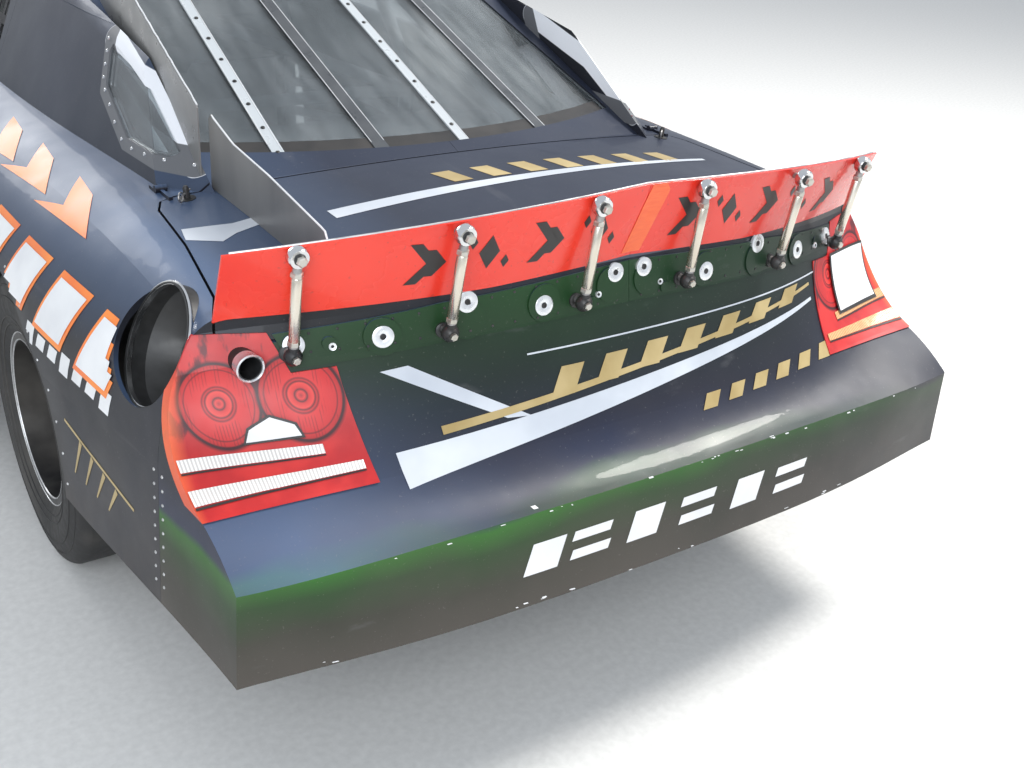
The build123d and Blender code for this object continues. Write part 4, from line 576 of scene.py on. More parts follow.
# Views that a flat outline is laid from. Columns: the outline's two axes; direction towards the viewer.
VIEWS = {
    "tail": ((0, 2), (0, 1, 0)), "left": ((1, 2), (1, 0, 0)), "right": ((1, 2), (-1, 0, 0)),
    "top": ((0, 1), (0, 0, 1)), "nose": ((0, 2), (0, -1, 0)),
}
forest = {}


def surface(*names):
    """Search tree over CAD nodes at rest."""
    if names not in forest:
        points, faces = [], []
        for name in names:
            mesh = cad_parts[name].data
            first = len(points)
            points += [vertex.co.copy() for vertex in mesh.vertices]
            faces += [tuple(first + index for index in polygon.vertices) for polygon in mesh.polygons]
        forest[names] = BVHTree.FromPolygons(points, faces)
    return forest[names]


def drop(tree, view, u, v):
    """Point and outward normal where the line of sight at (u, v) meets the surface."""
    (first, second), out = VIEWS[view]
    out = Vector(out)
    start = out * 4.0
    start[first] = u
    start[second] = v
    hit, normal, _, _ = tree.ray_cast(start, -out)
    if hit is not None and normal.dot(out) < 0:
        normal = -normal
    return hit, normal


def rivets_at(shape, tree, view, places, radius):
    """A rivet at each place where the line of sight meets the surface."""
    for u, v in places:
        hit, normal = drop(tree, view, u, v)
        if hit is not None:
            shape.rivet(hit, normal, radius)


def panel_pin(pins, clips, tree, place, plate, across=None):
    """Pull pin with a looped clip through it, on a plate of these two radii."""
    hit, normal = drop(tree, "top", *place)
    if hit is None:
        return
    across = across or normal.orthogonal().normalized()
    at = hit + normal * PIN_HOLE_HEIGHT
    pins.turned(hit, normal, [(plate[0], -0.0005), (plate[0], 0.0015), (plate[1], 0.0022)], 24)
    pins.turned(hit, normal, [(0.0065, 0), (0.0065, 0.022), (0.004, 0.027)], 14)
    clips.tube([at + across * along for along in (-0.018, 0.018)], 0.002, 8)
    clips.tube([
        hit + normal * (PIN_HOLE_HEIGHT + 0.010 * sin(tau * k / 14))
        + across * (0.026 + 0.010 * cos(tau * k / 14)) for k in range(15)
    ], 0.0017, 7)


def top_edge(tree, view, u, low, high):
    """Highest point of a sheet that is met at low and missed at high."""
    best = drop(tree, view, u, low)[0]
    for _ in range(14):
        middle = (low + high) / 2
        hit = drop(tree, view, u, middle)[0]
        if hit is None:
            high = middle
        else:
            low, best = middle, hit
    return best


def lay(shape, tree, view, outline, lift=0.0009, step=0.03):
    """Lays a flat outline on a surface, cut into small cells so that it follows the curve."""
    grid = bmesh.new()
    face = grid.faces.new([grid.verts.new((u, v, 0)) for u, v in outline])
    bmesh.ops.triangulate(grid, faces=[face])
    for index, direction in enumerate(((1, 0, 0), (0, 1, 0))):
        low, high = min(point[index] for point in outline), max(point[index] for point in outline)
        count = ceil((high - low) / step)
        for cut in range(1, count):
            place = low + (high - low) * cut / count
            bmesh.ops.bisect_plane(
                grid, geom=grid.verts[:] + grid.edges[:] + grid.faces[:],
                plane_co=(place, 0, 0) if index == 0 else (0, place, 0), plane_no=direction,
            )
    grid.verts.index_update()
    points, met = [], []
    for vertex in grid.verts:
        hit, normal = drop(tree, view, vertex.co.x, vertex.co.y)
        met.append(hit is not None)
        points.append(hit + normal * lift if hit is not None else Vector())
    out = Vector(VIEWS[view][1])
    faces = []
    for face in grid.faces:
        loop = [vertex.index for vertex in face.verts]
        if all(met[index] for index in loop):
            normal = (points[loop[1]] - points[loop[0]]).cross(points[loop[2]] - points[loop[0]])
            faces.append(loop if normal.dot(out) > 0 else loop[::-1])
    grid.free()
    shape.add(points, faces)


def disc(u, v, radius, sides=28):
    return [(u + radius * cos(tau * k / sides), v + radius * sin(tau * k / sides)) for k in range(sides)]


def ring(u, v, outer, inner, sides=36):
    """Two half rings that make a whole one."""
    halves = []
    for start in (0, pi):
        arc = [start + pi * k / (sides // 2) for k in range(sides // 2 + 1)]
        halves.append(
            [(u + outer * cos(a), v + outer * sin(a)) for a in arc]
            + [(u + inner * cos(a), v + inner * sin(a)) for a in reversed(arc)]
        )
    return halves


def bar(start, end, first, last):
    """Straight bar from start to end, as wide as first and last at its ends."""
    run = Vector((end[0] - start[0], end[1] - start[1])).normalized()
    side = Vector((-run.y, run.x))
    return [
        (start[0] - side.x * first / 2, start[1] - side.y * first / 2),
        (end[0] - side.x * last / 2, end[1] - side.y * last / 2),
        (end[0] + side.x * last / 2, end[1] + side.y * last / 2),
        (start[0] + side.x * first / 2, start[1] + side.y * first / 2),
    ]


def slanted(u, v, width, height, lean):
    """Leaning bar centred on (u, v)."""
    half, low, high = width / 2, v - height / 2, v + height / 2
    return [(u - half - lean, low), (u + half - lean, low), (u + half + lean, high), (u - half + lean, high)]


def chevron(z, half, tail, bend, tip, notch):
    """Arrowhead that points along x from tail to tip."""
    return [(tail, z - half), (bend, z - half), (tip, z), (bend, z + half), (tail, z + half), (notch, z)]


def lozenge(u, v, width, height):
    return [(u - width / 2, v), (u, v - height / 2), (u + width / 2, v), (u, v + height / 2)]


def print_group(name, finish, tree, view, outlines, body="root", lift=0.0009, step=0.03):
    """One thin printed piece made of several outlines."""
    shape = Shape()
    for outline in outlines:
        lay(shape, tree, view, outline, lift, step)
    return shape.piece(name, finish, body, solid=0.0004)


# Tail lamps

LAMPS = surface("tail_lamps")
for side, mark in ((1, "left"), (-1, "right")):
    rib = "rib_white" if side > 0 else "rib_gold"
    print_group(f"lamp_bars_{mark}", rib, LAMPS, "tail", [
        bar((side * 0.873, 0.694), (side * 0.640, 0.699), 0.015, 0.013),
        bar((side * 0.873, 0.660), (side * 0.582, 0.672), 0.014, 0.012),
    ], lift=0.0016, step=0.012)
    print_group(f"lamp_bar_edges_{mark}", "decal_black", LAMPS, "tail", [
        bar((side * 0.873, 0.6845), (side * 0.640, 0.6905), 0.002, 0.002),
        bar((side * 0.873, 0.651), (side * 0.582, 0.664), 0.002, 0.002),
    ], lift=0.0016, step=0.012)
# Blank stickers on the lamps. Columns: name; finish; height above the lamp; corners
for name, finish, lift, corners in (
    ("right_edge", "decal_black", 0.0042, [(-0.655, 0.698), (-0.838, 0.690), (-0.845, 0.806), (-0.668, 0.818)]),
    ("right", "decal_white", 0.0052, [(-0.661, 0.703), (-0.832, 0.696), (-0.839, 0.801), (-0.673, 0.812)]),
    ("left_edge", "decal_black", 0.0042, [
        (0.664, 0.7165), (0.764, 0.7115), (0.752, 0.7345), (0.712, 0.7525), (0.672, 0.7385),
    ]),
    ("left", "decal_white", 0.0052, [
        (0.669, 0.7195), (0.759, 0.7145), (0.749, 0.7315), (0.712, 0.7485), (0.676, 0.7355),
    ]),
):
    print_group(f"blank_sticker_{name}", finish, LAMPS, "tail", [corners], lift=lift, step=0.012)


# Spoiler

BLADE = surface("spoiler_blade")
motifs = []
for index, x in enumerate((0.445, 0.330, 0.215, 0.100, -0.110, -0.225, -0.340, -0.455, -0.570)):
    z = 1.022 - 0.105 * x * x
    if index % 2 == 0:
        motifs.append(chevron(z, 0.040, x + 0.034, x + 0.012, x - 0.022, x))
        motifs.append(chevron(z, 0.026, x + 0.002, x - 0.014, x - 0.036, x - 0.020))
    else:
        motifs.append(lozenge(x, z, 0.040, 0.066))
        motifs.append(lozenge(x + 0.034, z + 0.022, 0.016, 0.026))
        motifs.append(lozenge(x - 0.034, z - 0.022, 0.016, 0.026))
print_group("blade_motifs", "decal_black", BLADE, "tail", motifs, "lid_body", step=0.02)
print_group("blade_tape", "tape_orange", BLADE, "tail", [
    [(0.026, 0.957), (-0.018, 0.957), (-0.052, 1.096), (-0.006, 1.096)],
], "lid_body", lift=0.0012, step=0.02)
blade_edge = Shape()
blade_edge.tube([
    top_edge(BLADE, "tail", step * 0.02 + 0.002, 0.985, 1.20) + Vector((0, -0.0015, 0.0006))
    for step in range(-38, 39)
], 0.0021, 8).piece("blade_edge", "bare_aluminium", "lid_body")

BASE = surface("spoiler_base")
washers, screws, dimples = Shape(), Shape(), Shape()
for x, z, radius in WASHERS:
    for side in (1, -1):
        at, normal = drop(BASE, "tail", side * x, z)
        rim = [drop(BASE, "tail", u, v)[0] for u, v in disc(side * x, z, radius, 12)]
        at += normal * max([0.0] + [(hit - at).dot(normal) for hit in rim if hit is not None])
        hole = 0.0055 if radius > 0.01 else 0.0026
        washers.turned(at, normal, [
            (radius, -0.0045), (radius, 0.0012), (radius * 0.95, 0.0018), (hole + 0.0035, 0.0018),
            (hole, 0.0006), (hole, -0.003),
        ], 36, True)
        screws.turned(at, normal, [
            (hole, -0.001), (hole, 0.0014), (hole * 0.8, 0.0021), (hole * 0.5, 0.0021), (hole * 0.5, 0.0008),
        ], 18)
        dimples.turned(at + normal * 0.0006, normal, [(hole * 0.5, 0), (hole * 0.5, 0.0008)], 6)
washers.piece("spoiler_washers", "turned_metal", "lid_body")
screws.piece("spoiler_screws", "black_metal", "lid_body")
dimples.piece("spoiler_screw_sockets", "decal_black", "lid_body")

rods, ends, joints, nuts = Shape(), Shape(), Shape(), Shape()
for foot_x, foot_y, foot_z, head_x, head_y, head_z in STRUTS:
    for side in (1, -1):
        foot = Vector((side * foot_x, foot_y, foot_z))
        head = Vector((side * head_x, head_y, head_z))
        ahead = (head - foot).normalized()
        flat = (Vector((0, 1, 0)) - ahead * ahead.y).normalized()
        length = (head - foot).length
        rods.turned(foot, ahead, [
            (0.0085, length * 0.16), (0.0098, length * 0.17), (0.0098, length * 0.80), (0.0085, length * 0.81),
        ], 18)
        for share in (0.125, 0.815):
            nuts.hex(foot + ahead * length * share, ahead, 0.019, 0.009)
        ends.turned(foot, ahead, [(0.0055, length * 0.80), (0.0055, length * 0.93)], 12)
        eye = [(0.0165, 0), (0.0185, 0.003), (0.0185, 0.015), (0.0165, 0.018)]
        ends.turned(head - flat * 0.009, flat, eye, 20)
        ball = [(0.009, 0), (0.012, 0.008), (0.012, 0.018), (0.009, 0.026)]
        joints.turned(head - flat * 0.013, flat, ball, 16)
        nuts.hex(head + flat * 0.013, flat, 0.016, 0.008)
        joints.turned(foot - flat * 0.012, flat, [
            (0.010, 0), (0.0155, 0.006), (0.0165, 0.012), (0.0155, 0.018), (0.010, 0.024),
        ], 18)
        nuts.hex(foot + flat * 0.012, flat, 0.013, 0.006)
        joints.turned(foot - ahead * 0.004, ahead, [(0.0095, 0), (0.0095, length * 0.12)], 12)
        base, out = drop(BASE, "tail", side * foot_x, foot_z - 0.004)
        if base is not None:
            joints.turned(base, out, [(0.014, -0.001), (0.014, 0.004), (0.010, 0.006)], 18)
rods.piece("strut_sleeves", "champagne", "lid_body")
ends.piece("strut_ends", "chrome", "lid_body")
joints.piece("strut_joints", "black_metal", "lid_body")
nuts.piece("strut_nuts", "nut_zinc", "lid_body")

# Rivets that hold the base plates, in two rows
rivets = Shape()
for side in (1, -1):
    for x in [0.03 + step * 0.046 for step in range(14)]:
        rows = (0.9285 - 0.10 * x * x - 0.015 * x, 0.8665 - 0.045 * x * x)
        rivets_at(rivets, BASE, "tail", [(side * x, z) for z in rows], 0.0028)
rivets.piece("base_rivets", "black_metal", "lid_body")


# Tail livery: pale tapered bars with gold pinstripes, in a layout of its own

FASCIA = surface("tail_cover")
print_group("fascia_bars", "decal_silver", FASCIA, "tail", [
    bar((0.520, 0.652), (-0.560, 0.752), 0.052, 0.006),
    [(0.470, 0.812), (0.520, 0.806), (0.300, 0.700), (0.250, 0.696)],
    bar((0.240, 0.800), (-0.640, 0.800), 0.003, 0.003),
])
print_group("fascia_gold", "decal_gold", FASCIA, "tail", [
    bar((0.430, 0.700), (-0.560, 0.782), 0.014, 0.006),
    *[slanted(0.160 - k * 0.105, 0.742 + k * 0.006, 0.052, 0.050 - k * 0.003, -0.016) for k in range(7)],
    *[slanted(-0.180 - k * 0.075, 0.640 + k * 0.003, 0.040, 0.026, -0.010) for k in range(6)],
], lift=0.0014)
bumper_marks = []
for index, (x, z) in enumerate((
    (0.300, 0.486), (0.192, 0.487), (0.064, 0.485), (-0.072, 0.482), (-0.206, 0.478), (-0.336, 0.474),
)):
    if index % 2 == 0:
        bumper_marks.append(slanted(x, z, 0.074, 0.058, -0.012))
    else:
        bumper_marks.append(slanted(x, z + 0.018, 0.088, 0.018, -0.004))
        bumper_marks.append(slanted(x + 0.006, z - 0.018, 0.088, 0.018, -0.004))
print_group("bumper_bars", "decal_white", FASCIA, "tail", bumper_marks)
chips = []
for _ in range(46):
    x, z = dice.uniform(-0.8, 0.8), dice.choice((0.5705, 0.5745, 0.40, 0.39)) + dice.uniform(-0.004, 0.004)
    chips.append(slanted(x, z, dice.uniform(0.002, 0.012), dice.uniform(0.001, 0.003), 0.001))
print_group("bumper_chips", "decal_white", FASCIA, "tail", chips, lift=0.0007)
exit_rivets = Shape()
for side in ("left", "right"):
    rows = [(y, 0.425 + step * 0.028) for step in range(9) for y in (2.168, 2.200)]
    rivets_at(exit_rivets, surface(f"{side}_quarter", "tail_cover"), side, rows, SEAM_RIVET)
exit_rivets.piece("tail_seam_rivets", "bare_aluminium")


# Deck lid

LID = surface("deck_lid")
print_group("lid_bars", "decal_silver", LID, "top", [
    bar((0.420, 1.912), (-0.600, 1.872), 0.040, 0.012),
    [
        (0.645, 1.915), (0.700, 1.870), (0.690, 1.820), (0.600, 1.850), (0.470, 1.840), (0.470, 1.862),
        (0.610, 1.895),
    ],
], "lid_body", step=0.04)
print_group("lid_gold", "decal_gold", LID, "top", [
    slanted(0.100 - step * 0.098, 1.838 + step * 0.001, 0.046, 0.062, -0.012) for step in range(7)
], "lid_body", step=0.04)
pins, clips = Shape(), Shape()
for place in ((0.625, 1.682), (-0.625, 1.682), (0.735, 2.150), (-0.735, 2.150)):
    panel_pin(pins, clips, LID, place, (0.017, 0.013))
pins.piece("lid_pins", "black_metal", "lid_body")
clips.piece("lid_pin_clips", "steel", "lid_body")


# Side livery

FLAME = [(0.26, -0.10), (-0.05, -0.05), (-0.18, 0.03), (0.02, 0.01), (-0.12, 0.09), (0.10, 0.05), (0.26, 0.07)]
FLAME_CORE = [(0.24, -0.065), (0.02, -0.025), (-0.08, 0.018), (0.10, 0.02), (0.24, 0.035)]
SHOULDER_FLAME = [(0.16, 0.895), (0.02, 0.925), (-0.10, 0.930), (-0.02, 0.900), (-0.14, 0.885)]
LEFT = surface("left_quarter", "left_door", "left_fender")
RIGHT = surface("right_quarter", "right_door", "right_fender")
for view, tree, mark in (("left", LEFT, "left"), ("right", RIGHT, "right")):
    shade, front, flames, cores, dashes, gold = [], [], [], [], [], []
    for step in range(6):
        y, z = 1.93 - step * 0.215, 0.765 + 0.004 * step
        shade.append(slanted(y, z, 0.150, 0.132 - step * 0.004, 0.030))
        front.append(slanted(y, z, 0.128, 0.108 - step * 0.004, 0.026))
    for step in range(5):
        y, z = 0.40 - step * 0.26, 0.800
        flames.append([(y + along, z + rise) for along, rise in FLAME])
        cores.append([(y + along, z + rise) for along, rise in FLAME_CORE])
    for step in range(8):
        height = 0.044 if step % 3 == 0 else 0.030
        dashes.append(slanted(1.97 - step * 0.062, 0.690 - step * 0.001, 0.040, height, 0.006))
    for step in range(4):
        head, foot = (1.84 + step * 0.055, 0.545 - step * 0.008), (1.80 + step * 0.055, 0.460)
        gold.append(bar(head, foot, 0.012, 0.004))
    gold.append(bar((1.76, 0.560), (2.08, 0.520), 0.006, 0.006))
    print_group(f"side_bar_edges_{mark}", "decal_orange", tree, view, shade, lift=0.0012, step=0.02)
    print_group(f"side_bars_{mark}", "decal_white", tree, view, front, lift=0.0026, step=0.02)
    print_group(f"side_flames_{mark}", "decal_orange", tree, view, flames, step=0.04)
    print_group(f"side_flame_cores_{mark}", "decal_yellow", tree, view, cores, lift=0.0024, step=0.03)
    print_group(f"side_dashes_{mark}", "decal_white", tree, view, dashes, step=0.03)
    print_group(f"side_gold_{mark}", "decal_gold", tree, view, gold, step=0.04)
    # Flame tips that climb the shoulder beside the quarter window
    side = 1 if view == "left" else -1
    tips = [
        [(side * (0.845 - (z - 0.885) * 2.0), y + along) for along, z in SHOULDER_FLAME]
        for y in (1.50, 1.22, 0.96)
    ]
    print_group(f"shoulder_flames_{mark}", "decal_orange", tree, "top", tips, lift=0.0012, step=0.02)

seam_rivets = Shape()
for view, tree in (("left", LEFT), ("right", RIGHT)):
    seams = [(y, 0.20 + step * 0.042) for y in (-0.655, -0.625, 0.445, 0.475) for step in range(16)]
    rivets_at(seam_rivets, tree, view, seams, SEAM_RIVET)
    for axle in AXLES.values():
        turns = [radians(8 + step * 164 / 18) for step in range(19)]
        arch = [(axle + ARCH_ROW * cos(turn), AXLE_Z + ARCH_ROW * sin(turn)) for turn in turns]
        rivets_at(seam_rivets, tree, view, arch, SEAM_RIVET)
seam_rivets.piece("side_rivets", "bare_aluminium")


# Glass borders, strips and fins

REAR_GLASS = surface("rear_window")
band_x = [-0.54 + 0.09 * step for step in range(13)]
# Square of the radius that the glass's rear edge is bowed to
BOW = 1.69
print_group("rear_glass_band", "decal_black", REAR_GLASS, "top", [
    [(x, 0.360 + sqrt(BOW - x * x)) for x in band_x]
    + [(x, 0.318 + sqrt(BOW - x * x)) for x in reversed(band_x)]
], lift=0.0006, step=0.04)
# Strips on the rear glass. Columns: x at the foot; x at the head; width; whether it is clear, with screws
GLASS_STRIPS = [
    (0.395, 0.352, 0.026, True), (0.164, 0.158, 0.034, False),
    (-0.044, -0.050, 0.026, True), (-0.280, -0.264, 0.034, False),
]
STRIPS = surface("window_strips")
strip_rivets, strip_edges = Shape(), Shape()
for x_foot, x_head, width, clear in GLASS_STRIPS:
    screw_y = [1.60 - step * 0.088 for step in range(8 if clear else 0)]
    spots = [(x_foot + (x_head - x_foot) * (1.66 - y) / 0.68, y) for y in screw_y]
    rivets_at(strip_rivets, STRIPS, "top", spots, 0.0055)
    for side in (1, -1):
        edge = []
        for step in range(24):
            y = 1.655 - step * 0.029
            x = x_foot + (x_head - x_foot) * (1.66 - y) / 0.68 + side * (width / 2 - 0.0015)
            hit, normal = drop(STRIPS, "top", x, y)
            if hit is not None and abs(hit.z - 1.12) < 0.2:
                edge.append(hit)
        if len(edge) > 2:
            strip_edges.tube(edge, 0.0011, 6)
strip_rivets.piece("strip_rivets", "black_metal")
strip_edges.piece("strip_edges", "clear_strip")

# Painted highlight: a pale tube along the top edge of each fin. Columns: node; y of its ends; a height it
# covers at them; body
for name, ends, heights, body in (
    ("deck_fin", (1.668, 2.222), (0.985, 0.912), "lid_body"),
    ("window_strips", (0.925, 1.632), (1.215, 0.965), "root"),
):
    fin, edge = surface(name), []
    for step in range(41):
        share = step / 40
        y = ends[0] + (ends[1] - ends[0]) * share
        hit = top_edge(fin, "left", y, heights[0] + (heights[1] - heights[0]) * share, 1.40)
        if hit is not None:
            edge.append(hit + Vector((-0.0015, 0, 0.0008)))
    Shape().tube(edge, 0.0019, 6).piece(f"{name}_rim", "clear_strip", body)

# Rivets round the quarter windows
border_rivets = Shape()
for mark in ("left", "right"):
    for first, last, width, tone in PANE_BORDERS:
        start, end = Vector(PANE_OUTLINE[first]), Vector(PANE_OUTLINE[last])
        spots = []
        for share in (0.12, 0.37, 0.63, 0.88) if tone == GREY else ():
            spot = start.lerp(end, share)
            spots.append(spot + (spot - PANE_MIDDLE).normalized() * 0.016)
        rivets_at(border_rivets, surface(f"{mark}_quarter"), mark, spots, 0.0050)
border_rivets.piece("window_border_rivets", "chrome")


# Fuel filler and vent

Shape().turned(FILLER_AT, FILLER_OUT, [
    (0.1125, -0.004), (0.1165, 0.002), (0.1145, 0.005), (0.1085, 0.003), (0.1085, -0.006),
], 48, True).piece("filler_rim", "chrome")
coupling, throat = Shape(), Shape()
for radius, low, high in ((0.034, -0.113, -0.095), (0.031, -0.095, -0.080), (0.0335, -0.080, -0.062)):
    coupling.turned(FILLER_AT, FILLER_OUT, [
        (radius - 0.002, low), (radius, low + 0.002), (radius, high - 0.002), (radius - 0.002, high),
        (0.0305, high), (0.0305, low),
    ], 32, True)
coupling.piece("filler_coupling", "bare_aluminium")
throat.turned(FILLER_AT, FILLER_OUT, [
    (0.052, -0.1145), (0.056, -0.110), (0.052, -0.106), (0.040, -0.106), (0.040, -0.1145),
], 36, True)
across = FILLER_OUT.orthogonal().normalized()
for spot in around(Vector(), across, FILLER_OUT.cross(across), 0.046, 8):
    throat.hex(FILLER_AT + spot - FILLER_OUT * 0.107, FILLER_OUT, 0.007, 0.004)
throat.piece("filler_flange", "steel")
Shape().turned(VENT_AT + Vector((0, 0.002, 0)), (0, 1, 0), [
    (0.0215, -0.02), (0.0215, 0.005), (0.0235, 0.0075), (0.0255, 0.005), (0.0235, 0.002), (0.0228, -0.02),
], 32, True).piece("vent_lip", "turned_metal")


# Wheels

# Brake disc and its bell. Columns: inner radius; outer radius; low; high; sides
ROTOR = [(0.080, 0.158, -0.052, -0.028, 48), (0.064, 0.082, -0.050, -0.002, 36)]
for end, axle in AXLES.items():
    for side, mark in ((1, "left"), (-1, "right")):
        wheel = f"{end}_{mark}"
        body = f"{wheel}_wheel"
        centre = Vector((side * WHEEL_X, axle, AXLE_Z))
        out = Vector((side, 0, 0))
        nuts, studs = Shape(), Shape()
        for step in range(5):
            angle = tau * step / 5
            place = centre + Vector((0, cos(angle), sin(angle))) * 0.0635 + out * 0.0405
            nuts.turned(place, out, [(0.0155, 0), (0.0155, 0.004), (0.0145, 0.005)], 18)
            nuts.hex(place + out * 0.004, out, 0.025, 0.020)
            studs.turned(place, out, [(0.0112, 0.024), (0.0112, 0.0345), (0.009, 0.0355)], 14)
        nuts.piece(f"{wheel}_lug_nuts", "nut_zinc", body)
        studs.piece(f"{wheel}_studs", "steel", body)
        cap, face_at = Shape(), centre + out * 0.048
        cap.turned(face_at, out, [(0.034, -0.002), (0.034, 0.012), (0.028, 0.018), (0.012, 0.020)], 28)
        for step in range(8):
            angle = tau * (step + 0.5) / 8
            cap.hex(face_at + Vector((0, cos(angle), sin(angle))) * 0.047, out, 0.008, 0.005)
        cap.piece(f"{wheel}_hub_cap", "bare_aluminium", body)
        lip = Shape()
        for radius, along in ((0.2072, 0.1250), (0.190, 0.1252)):
            lip.turned(centre, out, [
                (radius - 0.003, along - 0.001), (radius - 0.002, along + 0.0012), (radius, along + 0.0016),
                (radius, along - 0.001),
            ], 64, True)
        lip.piece(f"{wheel}_rim_lip", "bare_aluminium", body)
        stem_at = centre + Vector((0, 0, 0.172)) + out * 0.041
        stem_profile = [(0.005, -0.002), (0.005, 0.018), (0.004, 0.030)]
        stem = Shape().turned(stem_at, out + Vector((0, 0, -0.25)), stem_profile, 12)
        stem.piece(f"{wheel}_valve_stem", "nut_zinc", body)
        ribs, tyre = Shape(), surface(f"{wheel}_tyre")
        for radius in (0.228, 0.245, 0.292, 0.318):
            for face in (1, -1):
                hit, _ = drop(tyre, "left" if side * face > 0 else "right", axle + radius, AXLE_Z)
                if hit is None:
                    continue
                along = (hit.x - centre.x) * side
                ribs.turned(centre, out, [
                    (radius - 0.003, along - face * 0.002), (radius - 0.0015, along + face * 0.0016),
                    (radius + 0.0015, along + face * 0.0016), (radius + 0.003, along - face * 0.002),
                ], 72, True)
        ribs.piece(f"{wheel}_sidewall_ribs", "black_rubber", body)
        rotor = Shape()
        for inner, outer, low, high, sides in ROTOR:
            rotor.turned(centre, out, [(inner, low), (outer, low), (outer, high), (inner, high)], sides, True)
        rotor.piece(f"{wheel}_brake_disc", "disc_iron", body)


# Front springs

def coil(shape, low, high, radius, wire, turns):
    low, high = Vector(low), Vector(high)
    steps = int(turns * 16)
    route = []
    for k in range(steps + 1):
        angle = tau * turns * k / steps
        route.append(low.lerp(high, k / steps) + Vector((cos(angle), sin(angle), 0)) * radius)
    shape.tube(route, wire, 8)


springs = Shape()
for side in (1, -1):
    x, y = side * 0.450, AXLES["front"]
    coil(springs, (x, y, 0.250), (x, y, 0.450), 0.052, 0.0065, 5)
springs.piece("coil_springs", "spring_paint")


# Cabin

def cushion(name, centre, size, turn, finish="pad_cloth", cells=10):
    """Stuffed pad: a rounded block whose edges draw in."""
    points, faces, index = [], [], {}

    def corner(face_axis, sign, a, b):
        """Number of a grid point on one side of the block, made when it is first met."""
        spot = [0.0, 0.0, 0.0]
        spot[face_axis] = sign
        spot[(face_axis + 1) % 3] = -1 + 2 * a / cells
        spot[(face_axis + 2) % 3] = -1 + 2 * b / cells
        key = tuple(round(value, 5) for value in spot)
        if key not in index:
            index[key] = len(points)
            power = sum(abs(value) ** 5 for value in spot) ** 0.2
            away = Vector(tuple(value / power * whole / 2 for value, whole in zip(spot, size)))
            points.append(Vector(centre) + turn @ away)
        return index[key]

    for face_axis, sign in product(range(3), (-1, 1)):
        for a, b in product(range(cells + 1), repeat=2):
            corner(face_axis, sign, a, b)
        for a, b in product(range(cells), repeat=2):
            loop = [corner(face_axis, sign, a + da, b + db) for da, db in ((0, 0), (1, 0), (1, 1), (0, 1))]
            faces.append(loop if sign > 0 else loop[::-1])
    Shape().add(points, faces).piece(name, finish, smooth=60)


SEAT_X = 0.388
back_tilt = Matrix.Rotation(radians(-13), 3, "X")
cushion("seat_cushion", (SEAT_X, 0.135, 0.312), (0.380, 0.370, 0.050), Matrix.Rotation(radians(-4), 3, "X"))
cushion("seat_back_pad", (SEAT_X, 0.383, 0.560), (0.380, 0.045, 0.480), back_tilt)
cushion("seat_head_pad", (SEAT_X, 0.445, 0.835), (0.230, 0.050, 0.150), back_tilt)
for side, mark in ((1, "left"), (-1, "right")):
    cushion(f"seat_side_pad_{mark}", (SEAT_X + side * 0.186, 0.350, 0.580), (0.030, 0.110, 0.300), back_tilt)
# Belts. Columns of a route: distance from the seat's middle; y; z
SHOULDER_BELT = [
    (0.075, 0.455, 0.760), (0.075, 0.395, 0.710), (0.070, 0.335, 0.560), (0.045, 0.290, 0.440),
    (0.020, 0.262, 0.372),
]
LAP_BELT = [(0.175, 0.262, 0.345), (0.110, 0.240, 0.356), (0.030, 0.236, 0.360)]
belts = Shape()
for side in (1, -1):
    for route, across in ((SHOULDER_BELT, (1, 0, 0)), (LAP_BELT, (0, 0.5, 1))):
        belts.strap([(SEAT_X + side * away, y, z) for away, y, z in route], across, 0.050, 0.0022)
belts.piece("seat_belts", "belt_red")
buckle_profile = [(0.030, 0), (0.032, 0.004), (0.032, 0.014), (0.026, 0.018)]
Shape().turned((SEAT_X, 0.236, 0.352), (0, -0.4, 1), buckle_profile, 24).piece("belt_buckle", "steel")
# Foam sleeves on the cage near the driver
sleeves = Shape()
sleeves.tube([(0.648, 0.330, 0.50), (0.648, 0.330, 0.84)], 0.036, 18)
sleeves.tube([(0.30, 0.330, 0.976), (0.12, 0.330, 0.912)], 0.036, 18)
sleeves.piece("cage_foam", "black_rubber")

DASH = surface("dash_panel")
bezels, dials, hands, switches = Shape(), Shape(), Shape(), Shape()
# Columns: x; z; radius
GAUGES = [
    (0.388, 0.820, 0.046), (0.275, 0.822, 0.028), (0.500, 0.822, 0.028), (0.205, 0.822, 0.028),
    (0.275, 0.766, 0.022), (0.500, 0.766, 0.022), (0.205, 0.766, 0.022),
]
for x, z, radius in GAUGES:
    hit, normal = drop(DASH, "tail", x, z)
    if hit is None:
        continue
    inner = radius - 0.006
    bezels.turned(hit, normal, [
        (radius, -0.002), (radius, 0.010), (radius - 0.004, 0.012), (inner, 0.008), (inner, -0.002),
    ], 32, True)
    dials.turned(hit, normal, [(inner, 0.001), (inner, 0.003)], 32)
    across = Vector((1, 0, 0))
    rise = normal.cross(across).normalized()
    face_at = hit + normal * 0.0035
    for tick in range(9):
        angle = radians(-30 + tick * 30)
        ray = across * cos(angle) + rise * sin(angle)
        hands.tube([face_at + ray * (radius - 0.013), face_at + ray * (radius - 0.008)], 0.0008, 5)
    angle = radians(dice.uniform(20, 160))
    ray = across * cos(angle) + rise * sin(angle)
    hands.tube([hit + normal * 0.004, hit + normal * 0.004 + ray * (radius - 0.011)], 0.001, 5)
for step in range(6):
    hit, normal = drop(DASH, "tail", 0.10 - step * 0.045, 0.790)
    if hit is not None:
        switches.turned(hit, normal, [(0.009, -0.001), (0.009, 0.003), (0.006, 0.004)], 14)
        switches.tube([hit, hit + normal * 0.018 + Vector((0, 0, 0.006))], 0.0028, 8)
bezels.piece("gauge_bezels", "black_metal")
dials.piece("gauge_dials", "gauge_face")
hands.piece("gauge_marks", "decal_black")
switches.piece("dash_switches", "chrome")

